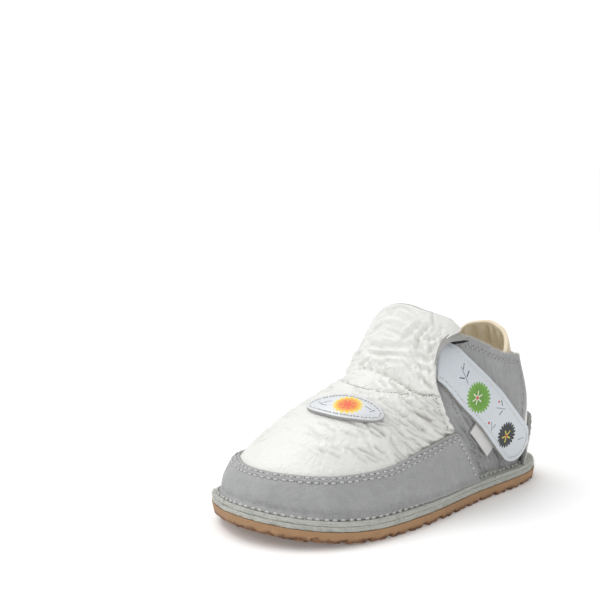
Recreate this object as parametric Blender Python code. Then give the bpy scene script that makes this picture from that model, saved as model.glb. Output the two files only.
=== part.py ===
"""First walker shoe for a left foot: leather upper stitched down to a thin rubber sole.

The shoe stands on z = 0 with its toe towards -Y, its heel towards +Y and its
outer (lateral) side towards +X. Lengths are in millimetres until the meshes are
written, in metres.

Every leather piece is cut from one surface, wall(around, up):
  around  0 at the back of the heel, 0.5 at the tip of the toe, 1 at the heel again,
          with the lateral side from 0 to 0.5 and the medial side from 0.5 to 1
  up      0 at the foot of the wall, 1 on the girth line (in front, the gathered seam
          between vamp and tongue), 2 on the top line, and a little more above it
"""

import bpy
import bmesh
import numpy as np

MILLIMETRE = 0.001

# Main sizes of the shoe
LENGTH = 142.0
BALL_WIDTH = 69.5
HEEL_WIDTH = 50.0
INSTEP_HEIGHT = 71.5
GIRTH_HEIGHT = 50.0
COLLAR_HEIGHT = 49.5
HEEL_TAB_HEIGHT = 62.5
TOE_SPRING = 5.0

# Sole
OUTSOLE_THICKNESS = 4.2
MIDSOLE_THICKNESS = 1.4
INSOLE_THICKNESS = 2.2
SOLE_EDGE_CHAMFER = 0.5
TREAD_PITCH = 8.9
TREAD_GROOVE = 3.0
TREAD_DEPTH = 1.2
TREAD_WAVE = 1.6

# Leather
WALL = 1.5
FLANGE_WIDTH = 4.4
FLANGE_INSET = 0.5
RAND_THICKNESS = 1.3
TONGUE_THICKNESS = 1.4
TONGUE_FLARE = 2.0
MEDIAL_FLARE = 0.8
TONGUE_CORNER_RISE = 2.6
FLARE_WIDTH = 13.0
THROAT_LAP = 6.0
LAP_FADE = 14.0
TUCK_FADE = 17.0
BACK_LAP_STEP = 1.0
BACK_LAP_FADE = 16.0
LINING_THICKNESS = 1.8
PATCH_THICKNESS = 1.4
HEEL_PATCH_THICKNESS = 1.3

# Strap, with the hook-and-loop pad and the folded label that lie under its end
STRAP_THICKNESS = 1.6
LOOP_PAD_THICKNESS = 0.9
LOOP_PAD_FROM_TIP = 6.0
LOOP_PAD_LENGTH = 24.5
LOOP_PAD_LOW = -6.6
LOOP_PAD_WIDTH = 12.6
LABEL_THICKNESS = 0.7
LABEL_FROM_TIP = 16.5
LABEL_LENGTH = 17.0
LABEL_WIDTH = 5.0
LABEL_SHOWS = 4.2

# Room between pieces that lie on each other
GAP = 0.3

# How deep the quarter's front edge lies under the vamp, and under strap and tongue
LAP_DEPTH = TONGUE_THICKNESS + GAP
TUCK_DEPTH = TONGUE_THICKNESS + STRAP_THICKNESS + 3 * GAP

# Oval patch on the vamp
PATCH_LENGTH = 28.8
PATCH_WIDTH = 12.6
PATCH_AROUND = 0.452
PATCH_UP = 0.714
PATCH_TURN = 24.0

# White patch on the heel: its height at the back and at its two low ends
HEEL_PATCH_HEIGHT = 16.0
HEEL_PATCH_END_HEIGHT = 6.5
HEEL_PATCH_AROUND = 0.088

# Sole outline: share of the length from the heel, then the medial and lateral half
# widths as shares of the local width, which grows from heel width to ball width
OUTLINE = (
    # along, medial, lateral
    (0.00, 0.000, 0.000),
    (0.02, 0.244, 0.244),
    (0.06, 0.376, 0.384),
    (0.12, 0.452, 0.464),
    (0.20, 0.488, 0.506),
    (0.35, 0.461, 0.503),
    (0.50, 0.438, 0.495),
    (0.65, 0.473, 0.498),
    (0.75, 0.500, 0.495),
    (0.85, 0.477, 0.443),
    (0.92, 0.401, 0.354),
    (0.97, 0.260, 0.227),
    (1.00, 0.045, -0.050),
)
WAIST_FROM = 0.20
WAIST_TO = 0.65
SPRING_FROM = 0.70

# Stations round the upper, from the back of the heel over the lateral side to the toe and
# back over the medial side.
# foot: where the wall meets the sole, as a share of the half outline from heel to toe
# girth_x, top_x: sideways, as shares of the ball width, lateral positive
# girth_y, top_y: shares of the length from the heel
# girth_z: share of the girth height; top_z: share of the instep height
# rise, lean, bulge: the wall's first handle, up, towards the toe and outwards, in mm
# crown: how far the wall's second handle is lifted, in mm
# sweep: 1 where the wall runs on smoothly past the girth line, 0 where it is creased there
STATION_COLUMNS = (
    "around", "foot", "girth_x", "girth_y", "girth_z", "top_x", "top_y", "top_z",
    "rise", "lean", "bulge", "crown", "sweep",
)
STATIONS = (
    (0.000, 0.000, 0.000, 0.032, 0.662, 0.000, 0.064, 0.685, 9.0, 0.0, 1.8, 0.0, 1.0),
    (0.050, 0.095, 0.178, 0.052, 0.662, 0.140, 0.082, 0.680, 9.0, 0.0, 1.8, 0.0, 1.0),
    (0.095, 0.185, 0.300, 0.125, 0.680, 0.245, 0.130, 0.702, 9.0, 0.0, 1.6, 0.0, 1.0),
    (0.150, 0.275, 0.365, 0.290, 0.773, 0.332, 0.285, 0.835, 9.5, 0.0, 1.2, 0.0, 1.0),
    (0.175, 0.312, 0.390, 0.405, 0.842, 0.344, 0.365, 0.888, 10.2, 0.4, 1.1, 0.0, 1.0),
    (0.200, 0.348, 0.396, 0.502, 0.890, 0.338, 0.438, 0.928, 11.0, 1.0, 1.0, 0.0, 1.0),
    (0.245, 0.460, 0.362, 0.524, 0.890, 0.300, 0.460, 0.968, 12.0, 1.0, 0.6, 0.0, 0.6),
    (0.300, 0.590, 0.290, 0.533, 0.892, 0.235, 0.473, 1.005, 13.0, 1.0, 0.5, 1.0, 0.2),
    (0.370, 0.740, 0.202, 0.537, 0.932, 0.155, 0.480, 1.030, 14.5, 0.0, 0.4, 2.0, 0.0),
    (0.435, 0.870, 0.105, 0.541, 0.975, 0.078, 0.483, 1.035, 15.5, 0.0, 0.8, 1.5, 0.0),
    (0.500, 1.000, 0.000, 0.543, 1.000, 0.000, 0.483, 1.025, 15.5, 0.0, 1.0, 1.0, 0.0),
    (0.565, 0.870, -0.102, 0.538, 0.985, -0.078, 0.476, 0.995, 15.5, 0.0, 0.8, 1.5, 0.0),
    (0.630, 0.740, -0.195, 0.529, 0.948, -0.155, 0.466, 0.955, 14.5, 0.0, 0.4, 2.0, 0.0),
    (0.700, 0.590, -0.272, 0.516, 0.910, -0.225, 0.446, 0.912, 13.0, 1.0, 0.5, 1.0, 0.2),
    (0.755, 0.460, -0.328, 0.501, 0.890, -0.268, 0.424, 0.882, 12.0, 1.0, 0.6, 0.0, 0.6),
    (0.800, 0.350, -0.360, 0.472, 0.870, -0.298, 0.396, 0.865, 11.0, 1.0, 1.0, 0.0, 1.0),
    (0.825, 0.312, -0.362, 0.388, 0.822, -0.312, 0.342, 0.832, 10.2, 0.4, 1.1, 0.0, 1.0),
    (0.850, 0.275, -0.345, 0.285, 0.764, -0.308, 0.280, 0.790, 9.5, 0.0, 1.2, 0.0, 1.0),
    (0.905, 0.185, -0.290, 0.120, 0.672, -0.238, 0.128, 0.690, 9.0, 0.0, 1.6, 0.0, 1.0),
    (0.950, 0.095, -0.173, 0.050, 0.662, -0.138, 0.082, 0.680, 9.0, 0.0, 1.8, 0.0, 1.0),
)
EDGE_AROUND = 0.200
BACK_SEAM_AROUND = 0.095
LINING_AROUND = 0.190
HEEL_TAB_AROUND = 0.120
LINING_BELOW_COLLAR = 1.2
VAMP_TOP = 0.992
WALL_REACH = 0.42
SWEEP_REACH = 0.36

# Height of the rand's top edge: share of the length from the heel, then of the girth height
RAND_EDGE = (
    # along, height
    (0.36, 0.590),
    (0.46, 0.566),
    (0.55, 0.520),
    (0.70, 0.451),
    (0.82, 0.446),
    (0.90, 0.460),
    (1.00, 0.465),
)

# Strap: its middle line on the wall, from the rounded end low on the lateral quarter,
# under the tongue, to the medial quarter, and half its width there in mm
STRAP_PATH = (
    # around, up, half width
    (0.1000, 0.195, 7.9),
    (0.1203, 0.375, 7.9),
    (0.1368, 0.535, 7.9),
    (0.1500, 0.708, 7.9),
    (0.1590, 0.885, 7.9),
    (0.1673, 1.085, 7.9),
    (0.1778, 1.308, 7.9),
    (0.1893, 1.505, 7.9),
    (0.2050, 1.580, 7.9),
    (0.2350, 1.600, 7.8),
    (0.3000, 1.580, 7.8),
    (0.4000, 1.520, 7.8),
    (0.5000, 1.500, 7.8),
    (0.6000, 1.520, 7.8),
    (0.7000, 1.560, 7.6),
    (0.7650, 1.580, 7.2),
    (0.8100, 1.580, 7.0),
    (0.8450, 1.540, 7.0),
)
STRAP_STEPS = 50
STRAP_ACROSS = 4
STRAP_OVER_PAD = (30.0, 42.0)

# How finely each piece is divided
CELL = 4.4
WALL_ROWS = 7
TONGUE_ROWS = 5
OUTLINE_STEPS = 48


def periodic_spline(knots, values, period):
    """A smooth closed curve through values at knots: cubic pieces whose slopes and
    curvatures agree, including where the last knot runs on to the first."""
    knots = np.asarray(knots, float)
    values = np.asarray(values, float)
    count = len(knots)
    step = np.diff(np.append(knots, knots[0] + period))
    rise = (np.roll(values, -1, axis=0) - values) / step[:, None]
    system = np.zeros((count, count))
    for k in range(count):
        system[k, k - 1] += step[k - 1]
        system[k, k] += 2 * (step[k - 1] + step[k])
        system[k, (k + 1) % count] += step[k]
    bend = np.linalg.solve(system, 6 * (rise - np.roll(rise, 1, axis=0)))
    ahead_value = np.roll(values, -1, axis=0)
    ahead_bend = np.roll(bend, -1, axis=0)

    def curve(at):
        at = (np.asarray(at, float) - knots[0]) % period + knots[0]
        k = np.clip(np.searchsorted(knots, at, side="right") - 1, 0, count - 1)
        h = step[k][..., None]
        a = (knots[k] + step[k] - at)[..., None]
        b = (at - knots[k])[..., None]
        cubic = (bend[k] * a**3 + ahead_bend[k] * b**3) / (6 * h)
        line = (values[k] / h - bend[k] * h / 6) * a
        return cubic + line + (ahead_value[k] / h - ahead_bend[k] * h / 6) * b

    return curve


def open_spline(knots, values):
    """A smooth curve through values at knots that never swings past them: each slope is
    the harmonic mean of its two neighbouring rises, or level where they differ in sign."""
    knots = np.asarray(knots, float)
    values = np.asarray(values, float)
    if values.ndim == 1:
        values = values[:, None]
    rise = np.diff(values, axis=0) / np.diff(knots)[:, None]
    before, after = rise[:-1], rise[1:]
    same = before * after > 0
    mean = 2 * before * after / np.where(same, before + after, 1.0)
    slope = np.concatenate([rise[:1], np.where(same, mean, 0.0), rise[-1:]])

    def curve(at):
        at = np.clip(np.asarray(at, float), knots[0], knots[-1])
        k = np.clip(np.searchsorted(knots, at, side="right") - 1, 0, len(knots) - 2)
        h = (knots[k + 1] - knots[k])[..., None]
        t = (at - knots[k])[..., None] / h
        start = (1 + 2 * t) * (1 - t) ** 2 * values[k] + t * (1 - t) ** 2 * h * slope[k]
        end = t**2 * (3 - 2 * t) * values[k + 1] + t**2 * (t - 1) * h * slope[k + 1]
        return start + end

    return curve


def smooth(low, high, x):
    """0 below low, 1 above high, with a soft S between."""
    t = np.clip((np.asarray(x, float) - low) / (high - low), 0, 1)
    return t * t * (3 - 2 * t)


def from_heel(share):
    """World y of a share of the length, counted from the heel."""
    return LENGTH * (0.5 - share)


def share_of(y):
    return 0.5 - np.asarray(y, float) / LENGTH


def spring(y):
    """How far the sole is lifted at y: nothing up to the ball, then a parabola to the toe."""
    past = np.clip((share_of(y) - SPRING_FROM) / (1 - SPRING_FROM), 0, None)
    return TOE_SPRING * past**2


def local_width(share):
    return HEEL_WIDTH + (BALL_WIDTH - HEEL_WIDTH) * smooth(WAIST_FROM, WAIST_TO, share)


def make_outline():
    """The closed outline of the sole as a function of around, with its outward normal."""
    lateral = [(wide * local_width(at), from_heel(at)) for at, _, wide in OUTLINE]
    medial = [(-wide * local_width(at), from_heel(at)) for at, wide, _ in OUTLINE]
    loop = np.array(lateral[:-1] + [((lateral[-1][0] + medial[-1][0]) / 2, from_heel(1.0))]
                    + medial[-2:0:-1])
    chord = np.linalg.norm(np.roll(loop, -1, axis=0) - loop, axis=1)
    knots = np.concatenate([[0], np.cumsum(chord)[:-1]])
    around_all = chord.sum()
    toe = knots[len(OUTLINE) - 1]
    curve = periodic_spline(knots, loop, around_all)

    def along(around):
        around = np.asarray(around, float) % 1.0
        first = around * 2 * toe
        second = toe + (around - 0.5) * 2 * (around_all - toe)
        return np.where(around < 0.5, first, second)

    def outline(around, inset=0.0):
        d = along(around)
        point = curve(d)
        run = curve(d + 0.2) - curve(d - 0.2)
        run /= np.linalg.norm(run, axis=-1, keepdims=True)
        outward = np.stack([-run[..., 1], run[..., 0]], axis=-1)
        return point - outward * np.asarray(inset, float)[..., None], outward

    return outline


outline = make_outline()
midsole_bottom = OUTSOLE_THICKNESS + GAP
flange_bottom = midsole_bottom + MIDSOLE_THICKNESS + GAP
flange_top = flange_bottom + WALL
feather_inset = FLANGE_INSET + FLANGE_WIDTH


def make_stations():
    """Curves over around: foot share, girth line, top line and handle sizes. They are
    splines over the length run along the girth line, so that they turn evenly."""
    rows = [dict(zip(STATION_COLUMNS, row)) for row in STATIONS]
    knots = [row["around"] for row in rows]
    foot = [row["foot"] / 2 if row["around"] <= 0.5 else 1 - row["foot"] / 2 for row in rows]
    slip = [[at - around] for at, around in zip(foot, knots)]
    girth = [(row["girth_x"] * BALL_WIDTH, from_heel(row["girth_y"]),
              row["girth_z"] * GIRTH_HEIGHT) for row in rows]
    top = [(row["top_x"] * BALL_WIDTH, from_heel(row["top_y"]),
            row["top_z"] * INSTEP_HEIGHT) for row in rows]
    names = ("rise", "lean", "bulge", "crown", "sweep")
    handles = [[row[name] for name in names] for row in rows]
    loop = (np.array(girth + girth[:1]) + np.array(top + top[:1])) / 2
    run = np.concatenate([[0], np.cumsum(np.linalg.norm(np.diff(loop, axis=0), axis=1))])
    place = open_spline(knots + [1.0], run)

    lines = [periodic_spline(run[:-1], values, run[-1]) for values in (slip, girth, top)]
    curves = lines + [open_spline(run, handles + handles[:1])]

    def over_around(curve):
        return lambda around: curve(place(np.asarray(around, float) % 1.0)[..., 0])

    return [over_around(curve) for curve in curves]


foot_slip, girth_line, top_line, handle_sizes = make_stations()


def bezier(a, b, c, d, t):
    t = t[..., None]
    return (1 - t) ** 3 * a + 3 * t * (1 - t) ** 2 * b + 3 * t**2 * (1 - t) * c + t**3 * d


def length_of(vectors):
    return np.linalg.norm(vectors, axis=-1, keepdims=True)


def wall(around, up):
    """Points of the upper's outer surface: for each place around the shoe, one Bezier
    curve from the foot of the wall to the girth line, and one from there to the top line."""
    around, up = np.broadcast_arrays(np.asarray(around, float), np.asarray(up, float))
    edge, outward = outline(around + foot_slip(around)[..., 0], feather_inset)
    foot = np.concatenate([edge, (flange_top + spring(edge[..., 1]))[..., None]], axis=-1)
    outward = np.concatenate([outward, np.zeros_like(outward[..., :1])], axis=-1)
    girth, top = girth_line(around), top_line(around)
    sizes = handle_sizes(around)
    rise, lean, bulge, crown, sweep = (sizes[..., k:k + 1] for k in range(5))
    vertical = np.array([0.0, 0.0, 1.0])
    toeward = np.array([0.0, -1.0, 0.0])
    first = foot + rise * vertical + lean * toeward + bulge * outward
    creased = girth + WALL_REACH * (first - girth) + crown * vertical
    climb = (top - first) / length_of(top - first)
    swept = girth - SWEEP_REACH * length_of(girth - first) * climb
    second = creased + sweep * (swept - creased)
    straight = girth + (top - girth) / 3
    third = straight + sweep * (girth + climb * length_of(top - girth) / 3 - straight)
    fourth = top - (top - girth) / 3
    lower = bezier(foot, first, second, girth, np.clip(up, -0.05, 1.0))
    upper = bezier(girth, third, fourth, top, np.clip(up - 1.0, 0.0, 1.0))
    above = (np.clip(up, 2.0, None) - 2.0)[..., None] * 3 * (top - fourth)
    return np.where(up[..., None] <= 1.0, lower, upper + above)


def outward_normal(around, up):
    step_around, step_up = 0.004, 0.02
    run = wall(around + step_around, up) - wall(around - step_around, up)
    climb = wall(around, up + step_up) - wall(around, up - step_up)
    normal = np.cross(climb, run)
    return normal / np.linalg.norm(normal, axis=-1, keepdims=True)


def skin(around, up, out):
    """The wall's surface moved out by out."""
    around, up = np.broadcast_arrays(np.asarray(around, float), np.asarray(up, float))
    out = np.broadcast_to(np.asarray(out, float), around.shape)
    return wall(around, up) + out[..., None] * outward_normal(around, up)


def up_at_height(around, height, low=0.0, high=1.0):
    """Where on each wall line a height is reached, by halving."""
    around = np.asarray(around, float)
    low = np.full(around.shape, low)
    high = np.full(around.shape, high)
    for _ in range(24):
        middle = (low + high) / 2
        below = wall(around, middle)[..., 2] < height
        low = np.where(below, middle, low)
        high = np.where(below, high, middle)
    return (low + high) / 2


def walk(around, up, heading, distance, steps=8):
    """Places reached by going a distance in mm over the wall from each start, towards a
    heading that is kept tangent to the surface."""
    around, up = np.array(around, float), np.array(up, float)
    heading = np.array(heading, float)
    step = np.asarray(distance, float)[..., None] / steps
    for _ in range(steps):
        along = (wall(around + 1e-3, up) - wall(around - 1e-3, up)) / 2e-3
        climb = (wall(around, up + 1e-2) - wall(around, up - 1e-2)) / 2e-2
        normal = np.cross(climb, along)
        normal /= length_of(normal)
        heading = heading - normal * (heading * normal).sum(-1, keepdims=True)
        heading /= length_of(heading)
        move = heading * step
        aa, ac, cc = ((u * v).sum(-1) for u, v in ((along, along), (along, climb), (climb, climb)))
        ma, mc = (move * along).sum(-1), (move * climb).sum(-1)
        size = aa * cc - ac * ac
        around = around + (ma * cc - mc * ac) / size
        up = up + (mc * aa - ma * ac) / size
    return around, up


def around_step(width, up=0.5, around=EDGE_AROUND):
    """How much of around a width in mm takes up at a place on the wall."""
    run = wall(around + 0.002, up) - wall(around - 0.002, up)
    return width / (np.linalg.norm(run) / 0.004)


def side_of(around):
    """0 at the back of the heel to 0.5 at the tip of the toe, on either side."""
    around = np.asarray(around, float) % 1.0
    return np.minimum(around, 1.0 - around)


def throat_around():
    """Where the quarter's front edge lies under the tongue."""
    return EDGE_AROUND + around_step(THROAT_LAP, 1.0)


def beside_quarter(around):
    """1 at the sides, where the quarters reach under vamp and tongue, 0 in front."""
    past = (side_of(around) - throat_around()) / around_step(LAP_FADE, 1.0)
    return 1 - smooth(0.12, 1.12, past)


def tuck(around, up):
    """How far the quarter's outer face lies inside the wall's surface near its front edge,
    to make room for the vamp over it and, higher up, for strap and tongue."""
    near = smooth(EDGE_AROUND - around_step(TUCK_FADE), EDGE_AROUND, side_of(around))
    under_vamp = LAP_DEPTH * smooth(0.0, 0.3, up)
    under_tongue = (TUCK_DEPTH - LAP_DEPTH) * smooth(0.45, 1.0, up)
    return near * (under_vamp + under_tongue)


def back_lap(around):
    """Height of the quarter's outer face over the wall's surface where the quarter lies
    over the back strip: highest at the quarter's rear edge."""
    past = (side_of(around) - BACK_SEAM_AROUND) / around_step(BACK_LAP_FADE, 1.0,
                                                              BACK_SEAM_AROUND)
    return BACK_LAP_STEP * (1 - smooth(0, 1, past))


def vamp_lift(around, up):
    """How far the foot of the vamp stands out where it lies over the quarter."""
    return beside_quarter(around) * LAP_DEPTH * (1 - smooth(0.0, 0.3, up))


def upper_outside(around, up):
    """Offset of the upper's outer face from the wall's surface, with a step at each lap."""
    side = side_of(around)
    back = (side >= BACK_SEAM_AROUND - 1e-9) & (side < EDGE_AROUND)
    vamp = (side >= EDGE_AROUND - 1e-9) & (up <= VAMP_TOP)
    quarter = back * back_lap(around) - tuck(around, up) * beside_quarter(around)
    return np.where(vamp, vamp_lift(around, up), quarter)


def upper_inside(around, up):
    """Offset of the upper's inner face, which is smooth over the laps."""
    return -WALL - tuck(around, up) * beside_quarter(around)


def material(name, colour, roughness):
    made = bpy.data.materials.new(name)
    made.use_nodes = True
    shader = made.node_tree.nodes["Principled BSDF"]
    shader.inputs["Base Color"].default_value = (*colour, 1.0)
    shader.inputs["Roughness"].default_value = roughness
    shader.inputs["Metallic"].default_value = 0.0
    return made


def add_object(name, points, faces, look):
    """A named object from points in mm, with its faces pointing out."""
    mesh = bpy.data.meshes.new(name)
    mesh.from_pydata([tuple(p) for p in np.asarray(points) * MILLIMETRE], [], faces)
    work = bmesh.new()
    work.from_mesh(mesh)
    bmesh.ops.recalc_face_normals(work, faces=work.faces)
    if work.calc_volume(signed=True) < 0:
        bmesh.ops.reverse_faces(work, faces=work.faces)
    work.to_mesh(mesh)
    work.free()
    made = bpy.data.objects.new(name, mesh)
    bpy.context.scene.collection.objects.link(made)
    mesh.materials.append(look)
    mesh.shade_smooth()
    mesh.set_sharp_from_angle(angle=np.radians(35))
    return made


def shell(name, outer, inner, look, closed=False, active=None):
    """A closed solid between two grids of points, walled along every free edge.
    active says which cells of the grid are there, so that a throat can be left open."""
    steps, rows = outer.shape[:2]
    cells = steps if closed else steps - 1
    if active is None:
        active = np.ones((cells, rows - 1), bool)
    points, index = [], {}

    def corner(layer, i, j):
        key = (layer, i % steps, j)
        if key not in index:
            index[key] = len(points)
            points.append((outer, inner)[layer][i % steps, j])
        return index[key]

    def is_active(i, j):
        if closed:
            i %= cells
        return 0 <= i < cells and 0 <= j < rows - 1 and active[i, j]

    faces = []
    for i in range(cells):
        for j in range(rows - 1):
            if not active[i, j]:
                continue
            ring = [(i, j), (i, j + 1), (i + 1, j + 1), (i + 1, j)]
            faces.append([corner(0, *c) for c in ring])
            faces.append([corner(1, *c) for c in reversed(ring)])
            sides = [((i - 1, j), ring[1], ring[0]), ((i + 1, j), ring[3], ring[2]),
                     ((i, j - 1), ring[0], ring[3]), ((i, j + 1), ring[2], ring[1])]
            for neighbour, a, b in sides:
                if not is_active(*neighbour):
                    faces.append([corner(0, *a), corner(0, *b), corner(1, *b), corner(1, *a)])
    return add_object(name, points, faces, look)


def slab(name, inset, bottom, thickness, look):
    """A flat layer of the sole: the outline moved in, sprung at the toe, with a loop of
    points part way in so that the spring is followed."""
    around = np.linspace(0, 1, OUTLINE_STEPS, endpoint=False)
    edge = outline(around, inset)[0]
    centre_x = edge[:, 0].mean()
    rows = []
    for share in (1.0, 0.62, 0.28):
        ring = edge.copy()
        ring[:, 0] = centre_x + (edge[:, 0] - centre_x) * share
        rows.append(ring)
    count = len(around)
    points, faces = [], []
    for level in (bottom, bottom + thickness):
        for ring in rows:
            lift = level + spring(ring[:, 1])
            points.extend(np.column_stack([ring, lift]))
    layers = len(rows)
    for level in (0, 1):
        base = level * layers * count
        for ring in range(layers - 1):
            for i in range(count):
                k = (i + 1) % count
                faces.append([base + ring * count + i, base + ring * count + k,
                              base + (ring + 1) * count + k, base + (ring + 1) * count + i])
        last = base + (layers - 1) * count
        half = count // 2
        for i in range(half):
            a, b = last + i, last + i + 1
            c, d = last + (count - i - 1) % count, last + (count - i) % count
            ring = [a, b, c, d] if i else [a, b, c]
            faces.append(list(dict.fromkeys(ring)))
    for i in range(count):
        k = (i + 1) % count
        faces.append([i, k, layers * count + k, layers * count + i])
    return add_object(name, points, faces, look)


def tread_rows():
    """Rows of the outsole from heel to toe: share of the length and depth of tread there,
    with a land on the origin and narrow ramps beside each groove."""
    ramp = 0.35
    land = TREAD_PITCH - TREAD_GROOVE
    rows = {}
    for k in range(-14, 15):
        start = k * TREAD_PITCH + land / 2
        for y, depth in ((start, 0), (start + ramp, 1), (start + TREAD_GROOVE - ramp, 1),
                         (start + TREAD_GROOVE, 0)):
            if 0.045 < share_of(y) < 0.955:
                rows[round(y, 4)] = depth * TREAD_DEPTH
    ends = 0.5 * (1 - np.cos(np.linspace(0, 1, 6) * np.pi / 2)) * 0.09
    for share in ends:
        rows[from_heel(0.0025 + share)] = 0.0
        rows[from_heel(0.9975 - share)] = 0.0
    return sorted(rows.items(), reverse=True)


def half_widths(y):
    """Medial and lateral edge of the outline at y, read from a fine copy of it."""
    fine = np.linspace(0, 0.5, 600)
    lateral = outline(fine)[0]
    medial = outline(1 - fine)[0]
    return (np.interp(-y, -medial[:, 1], medial[:, 0]),
            np.interp(-y, -lateral[:, 1], lateral[:, 0]))


def make_outsole(look):
    """Rubber sole: rows across the shoe, bent into a shallow wave under the foot, with a
    groove cut between each two lands and a chamfer round the lower edge."""
    across = np.linspace(-1, 1, 5)
    points, faces = [], []
    rows = tread_rows()
    for y_row, depth in rows:
        near_end = smooth(0.03, 0.16, min(share_of(y_row), 1 - share_of(y_row)))
        y = y_row + near_end * TREAD_WAVE * (np.cos(across * 2 * np.pi) - 1) / 2
        medial, lateral = half_widths(y)
        middle, half = (medial + lateral) / 2, (lateral - medial) / 2
        low = spring(y) + depth
        narrow = np.maximum(half - SOLE_EDGE_CHAMFER, half * 0.5)
        bottom = np.column_stack([middle + across * narrow, y, low])
        edge = [[middle[k] + across[k] * half[k], y[k], low[k] + SOLE_EDGE_CHAMFER]
                for k in (-1, 0)]
        top = np.column_stack([middle + across * half, y, spring(y) + OUTSOLE_THICKNESS])[::-1]
        points.extend([*bottom, edge[0], *top, edge[1]])
    size = 2 * len(across) + 2
    for r in range(len(rows) - 1):
        for k in range(size):
            m = (k + 1) % size
            faces.append([r * size + k, r * size + m, (r + 1) * size + m, (r + 1) * size + k])
    faces.append(list(range(size)))
    faces.append([(len(rows) - 1) * size + k for k in range(size)])
    return add_object("outsole", points, faces, look)


def spaced(start, end, spacing, up):
    """Places around the shoe from start to end, evenly apart in mm at a height up."""
    fine = np.linspace(start, end, 200)
    run = np.cumsum(length_of(np.diff(wall(fine, up), axis=0))[:, 0])
    run = np.concatenate([[0], run])
    return np.interp(np.linspace(0, run[-1], round(run[-1] / spacing) + 1), run, fine)


def quarter_grid():
    """Lines of the mesh from the back of the heel to the quarter's front edge."""
    back = spaced(0, BACK_SEAM_AROUND, CELL, 1.0)
    quarter = spaced(BACK_SEAM_AROUND, EDGE_AROUND, CELL, 1.0)
    return back, quarter


def around_grid():
    """Lines of the upper's mesh round the shoe, with a pair of them set close together at
    each lapped edge so that the lap is a crisp step."""
    tight = 0.0006
    throat = throat_around()
    back, quarter = quarter_grid()
    under_tongue = np.linspace(EDGE_AROUND, throat, 5)
    front = spaced(throat, 0.5, CELL, 0.5)
    half = np.concatenate([back[:-1], [BACK_SEAM_AROUND - tight], quarter[:-1],
                           [EDGE_AROUND - tight], under_tongue[:-1], front])
    return np.concatenate([half, 1 - half[-2:0:-1]]), throat


def make_upper(look):
    """The hollow upper: flange, wall, vamp and quarters in one shell. It is open below,
    where the sole closes it, at the throat under the tongue and at the collar."""
    around, throat = around_grid()
    up_rows = np.concatenate([np.linspace(0.0, VAMP_TOP, WALL_ROWS), [1.0],
                              1 + np.linspace(0, 1, TONGUE_ROWS)[1:]])
    grid_around, grid_up = np.meshgrid(around, up_rows, indexing="ij")
    outer = skin(grid_around, grid_up, upper_outside(grid_around, grid_up))
    inner = skin(grid_around, grid_up, upper_inside(grid_around, grid_up))
    lip, _ = outline(around, FLANGE_INSET)
    turn, _ = outline(around, feather_inset - 1.3)
    inside, _ = outline(around, feather_inset + WALL)

    def level(edge, height):
        return np.column_stack([edge, height + spring(edge[:, 1])])

    outer[:, 0, 2] += 0.9
    inner[:, 0] = level(inside, flange_bottom + 0.9)
    outer_flange = np.stack([level(lip, flange_top), level(turn, flange_top)], axis=1)
    inner_flange = np.stack([level(lip, flange_bottom), level(turn, flange_bottom)], axis=1)
    under, _ = outline(around, feather_inset + WALL)
    inner_corner = level(under, flange_bottom)
    outer = np.concatenate([outer_flange, outer], axis=1)
    inner = np.concatenate([inner_flange, inner], axis=1)
    inner[:, 2] = inner_corner
    rows = outer.shape[1]
    middles = (around + np.append(around[1:], 1.0)) / 2
    side = np.minimum(middles, 1 - middles)
    active = np.ones((len(around), rows - 1), bool)
    first_tongue_row = 2 + WALL_ROWS
    active[np.ix_(side > throat, np.arange(rows - 1) >= first_tongue_row)] = False
    return shell("upper", outer, inner, look, closed=True, active=active)


def tongue_flare(around, up):
    """How far the tongue's free side edges curl outwards."""
    past = (side_of(around) - EDGE_AROUND) / around_step(FLARE_WIDTH, 1.0)
    widest = np.where(around % 1.0 < 0.5, TONGUE_FLARE, MEDIAL_FLARE)
    return widest * (1 - np.clip(past, 0, 1)) ** 2 * smooth(1.15, 1.75, up)


def make_tongue(look):
    share = np.linspace(0, 1, 35)
    share = share - 0.62 * np.sin(2 * np.pi * share) / (2 * np.pi)
    around = EDGE_AROUND + (1 - 2 * EDGE_AROUND) * share
    start = 2 - VAMP_TOP + 0.004
    rise = TONGUE_CORNER_RISE * (1 - smooth(EDGE_AROUND, EDGE_AROUND + 0.14, around))
    reach = 3 * (top_line(around) - wall(around, np.full_like(around, 5 / 3)))[:, 2]
    finish = 2.0 + rise / reach
    share = np.linspace(0, 1, 8) ** 1.25
    grid_around = np.repeat(around[:, None], len(share), axis=1)
    grid_up = start + (finish - start)[:, None] * share
    flare = tongue_flare(grid_around, grid_up)
    return shell("tongue", skin(grid_around, grid_up, flare),
                 skin(grid_around, grid_up, flare - TONGUE_THICKNESS), look)


def make_rand(look):
    """The toe rand: a band of leather laid round the vamp from edge to edge."""
    around = np.linspace(EDGE_AROUND, 1 - EDGE_AROUND, 35)
    edge_height = open_spline([row[0] for row in RAND_EDGE], [row[1] for row in RAND_EDGE])
    foot = wall(around, np.zeros_like(around))
    low = up_at_height(around, foot[:, 2] + 1.3)
    high = low.copy()
    for _ in range(8):
        along = share_of(wall(around, high)[:, 1])
        high = up_at_height(around, edge_height(along)[:, 0] * GIRTH_HEIGHT)
    share = np.linspace(0, 1, 6)
    grid_around = np.repeat(around[:, None], len(share), axis=1)
    grid_up = low[:, None] + (high - low)[:, None] * share
    clear = vamp_lift(grid_around, grid_up) + GAP
    return shell("toe_rand", skin(grid_around, grid_up, clear + RAND_THICKNESS),
                 skin(grid_around, grid_up, clear), look)


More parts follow.
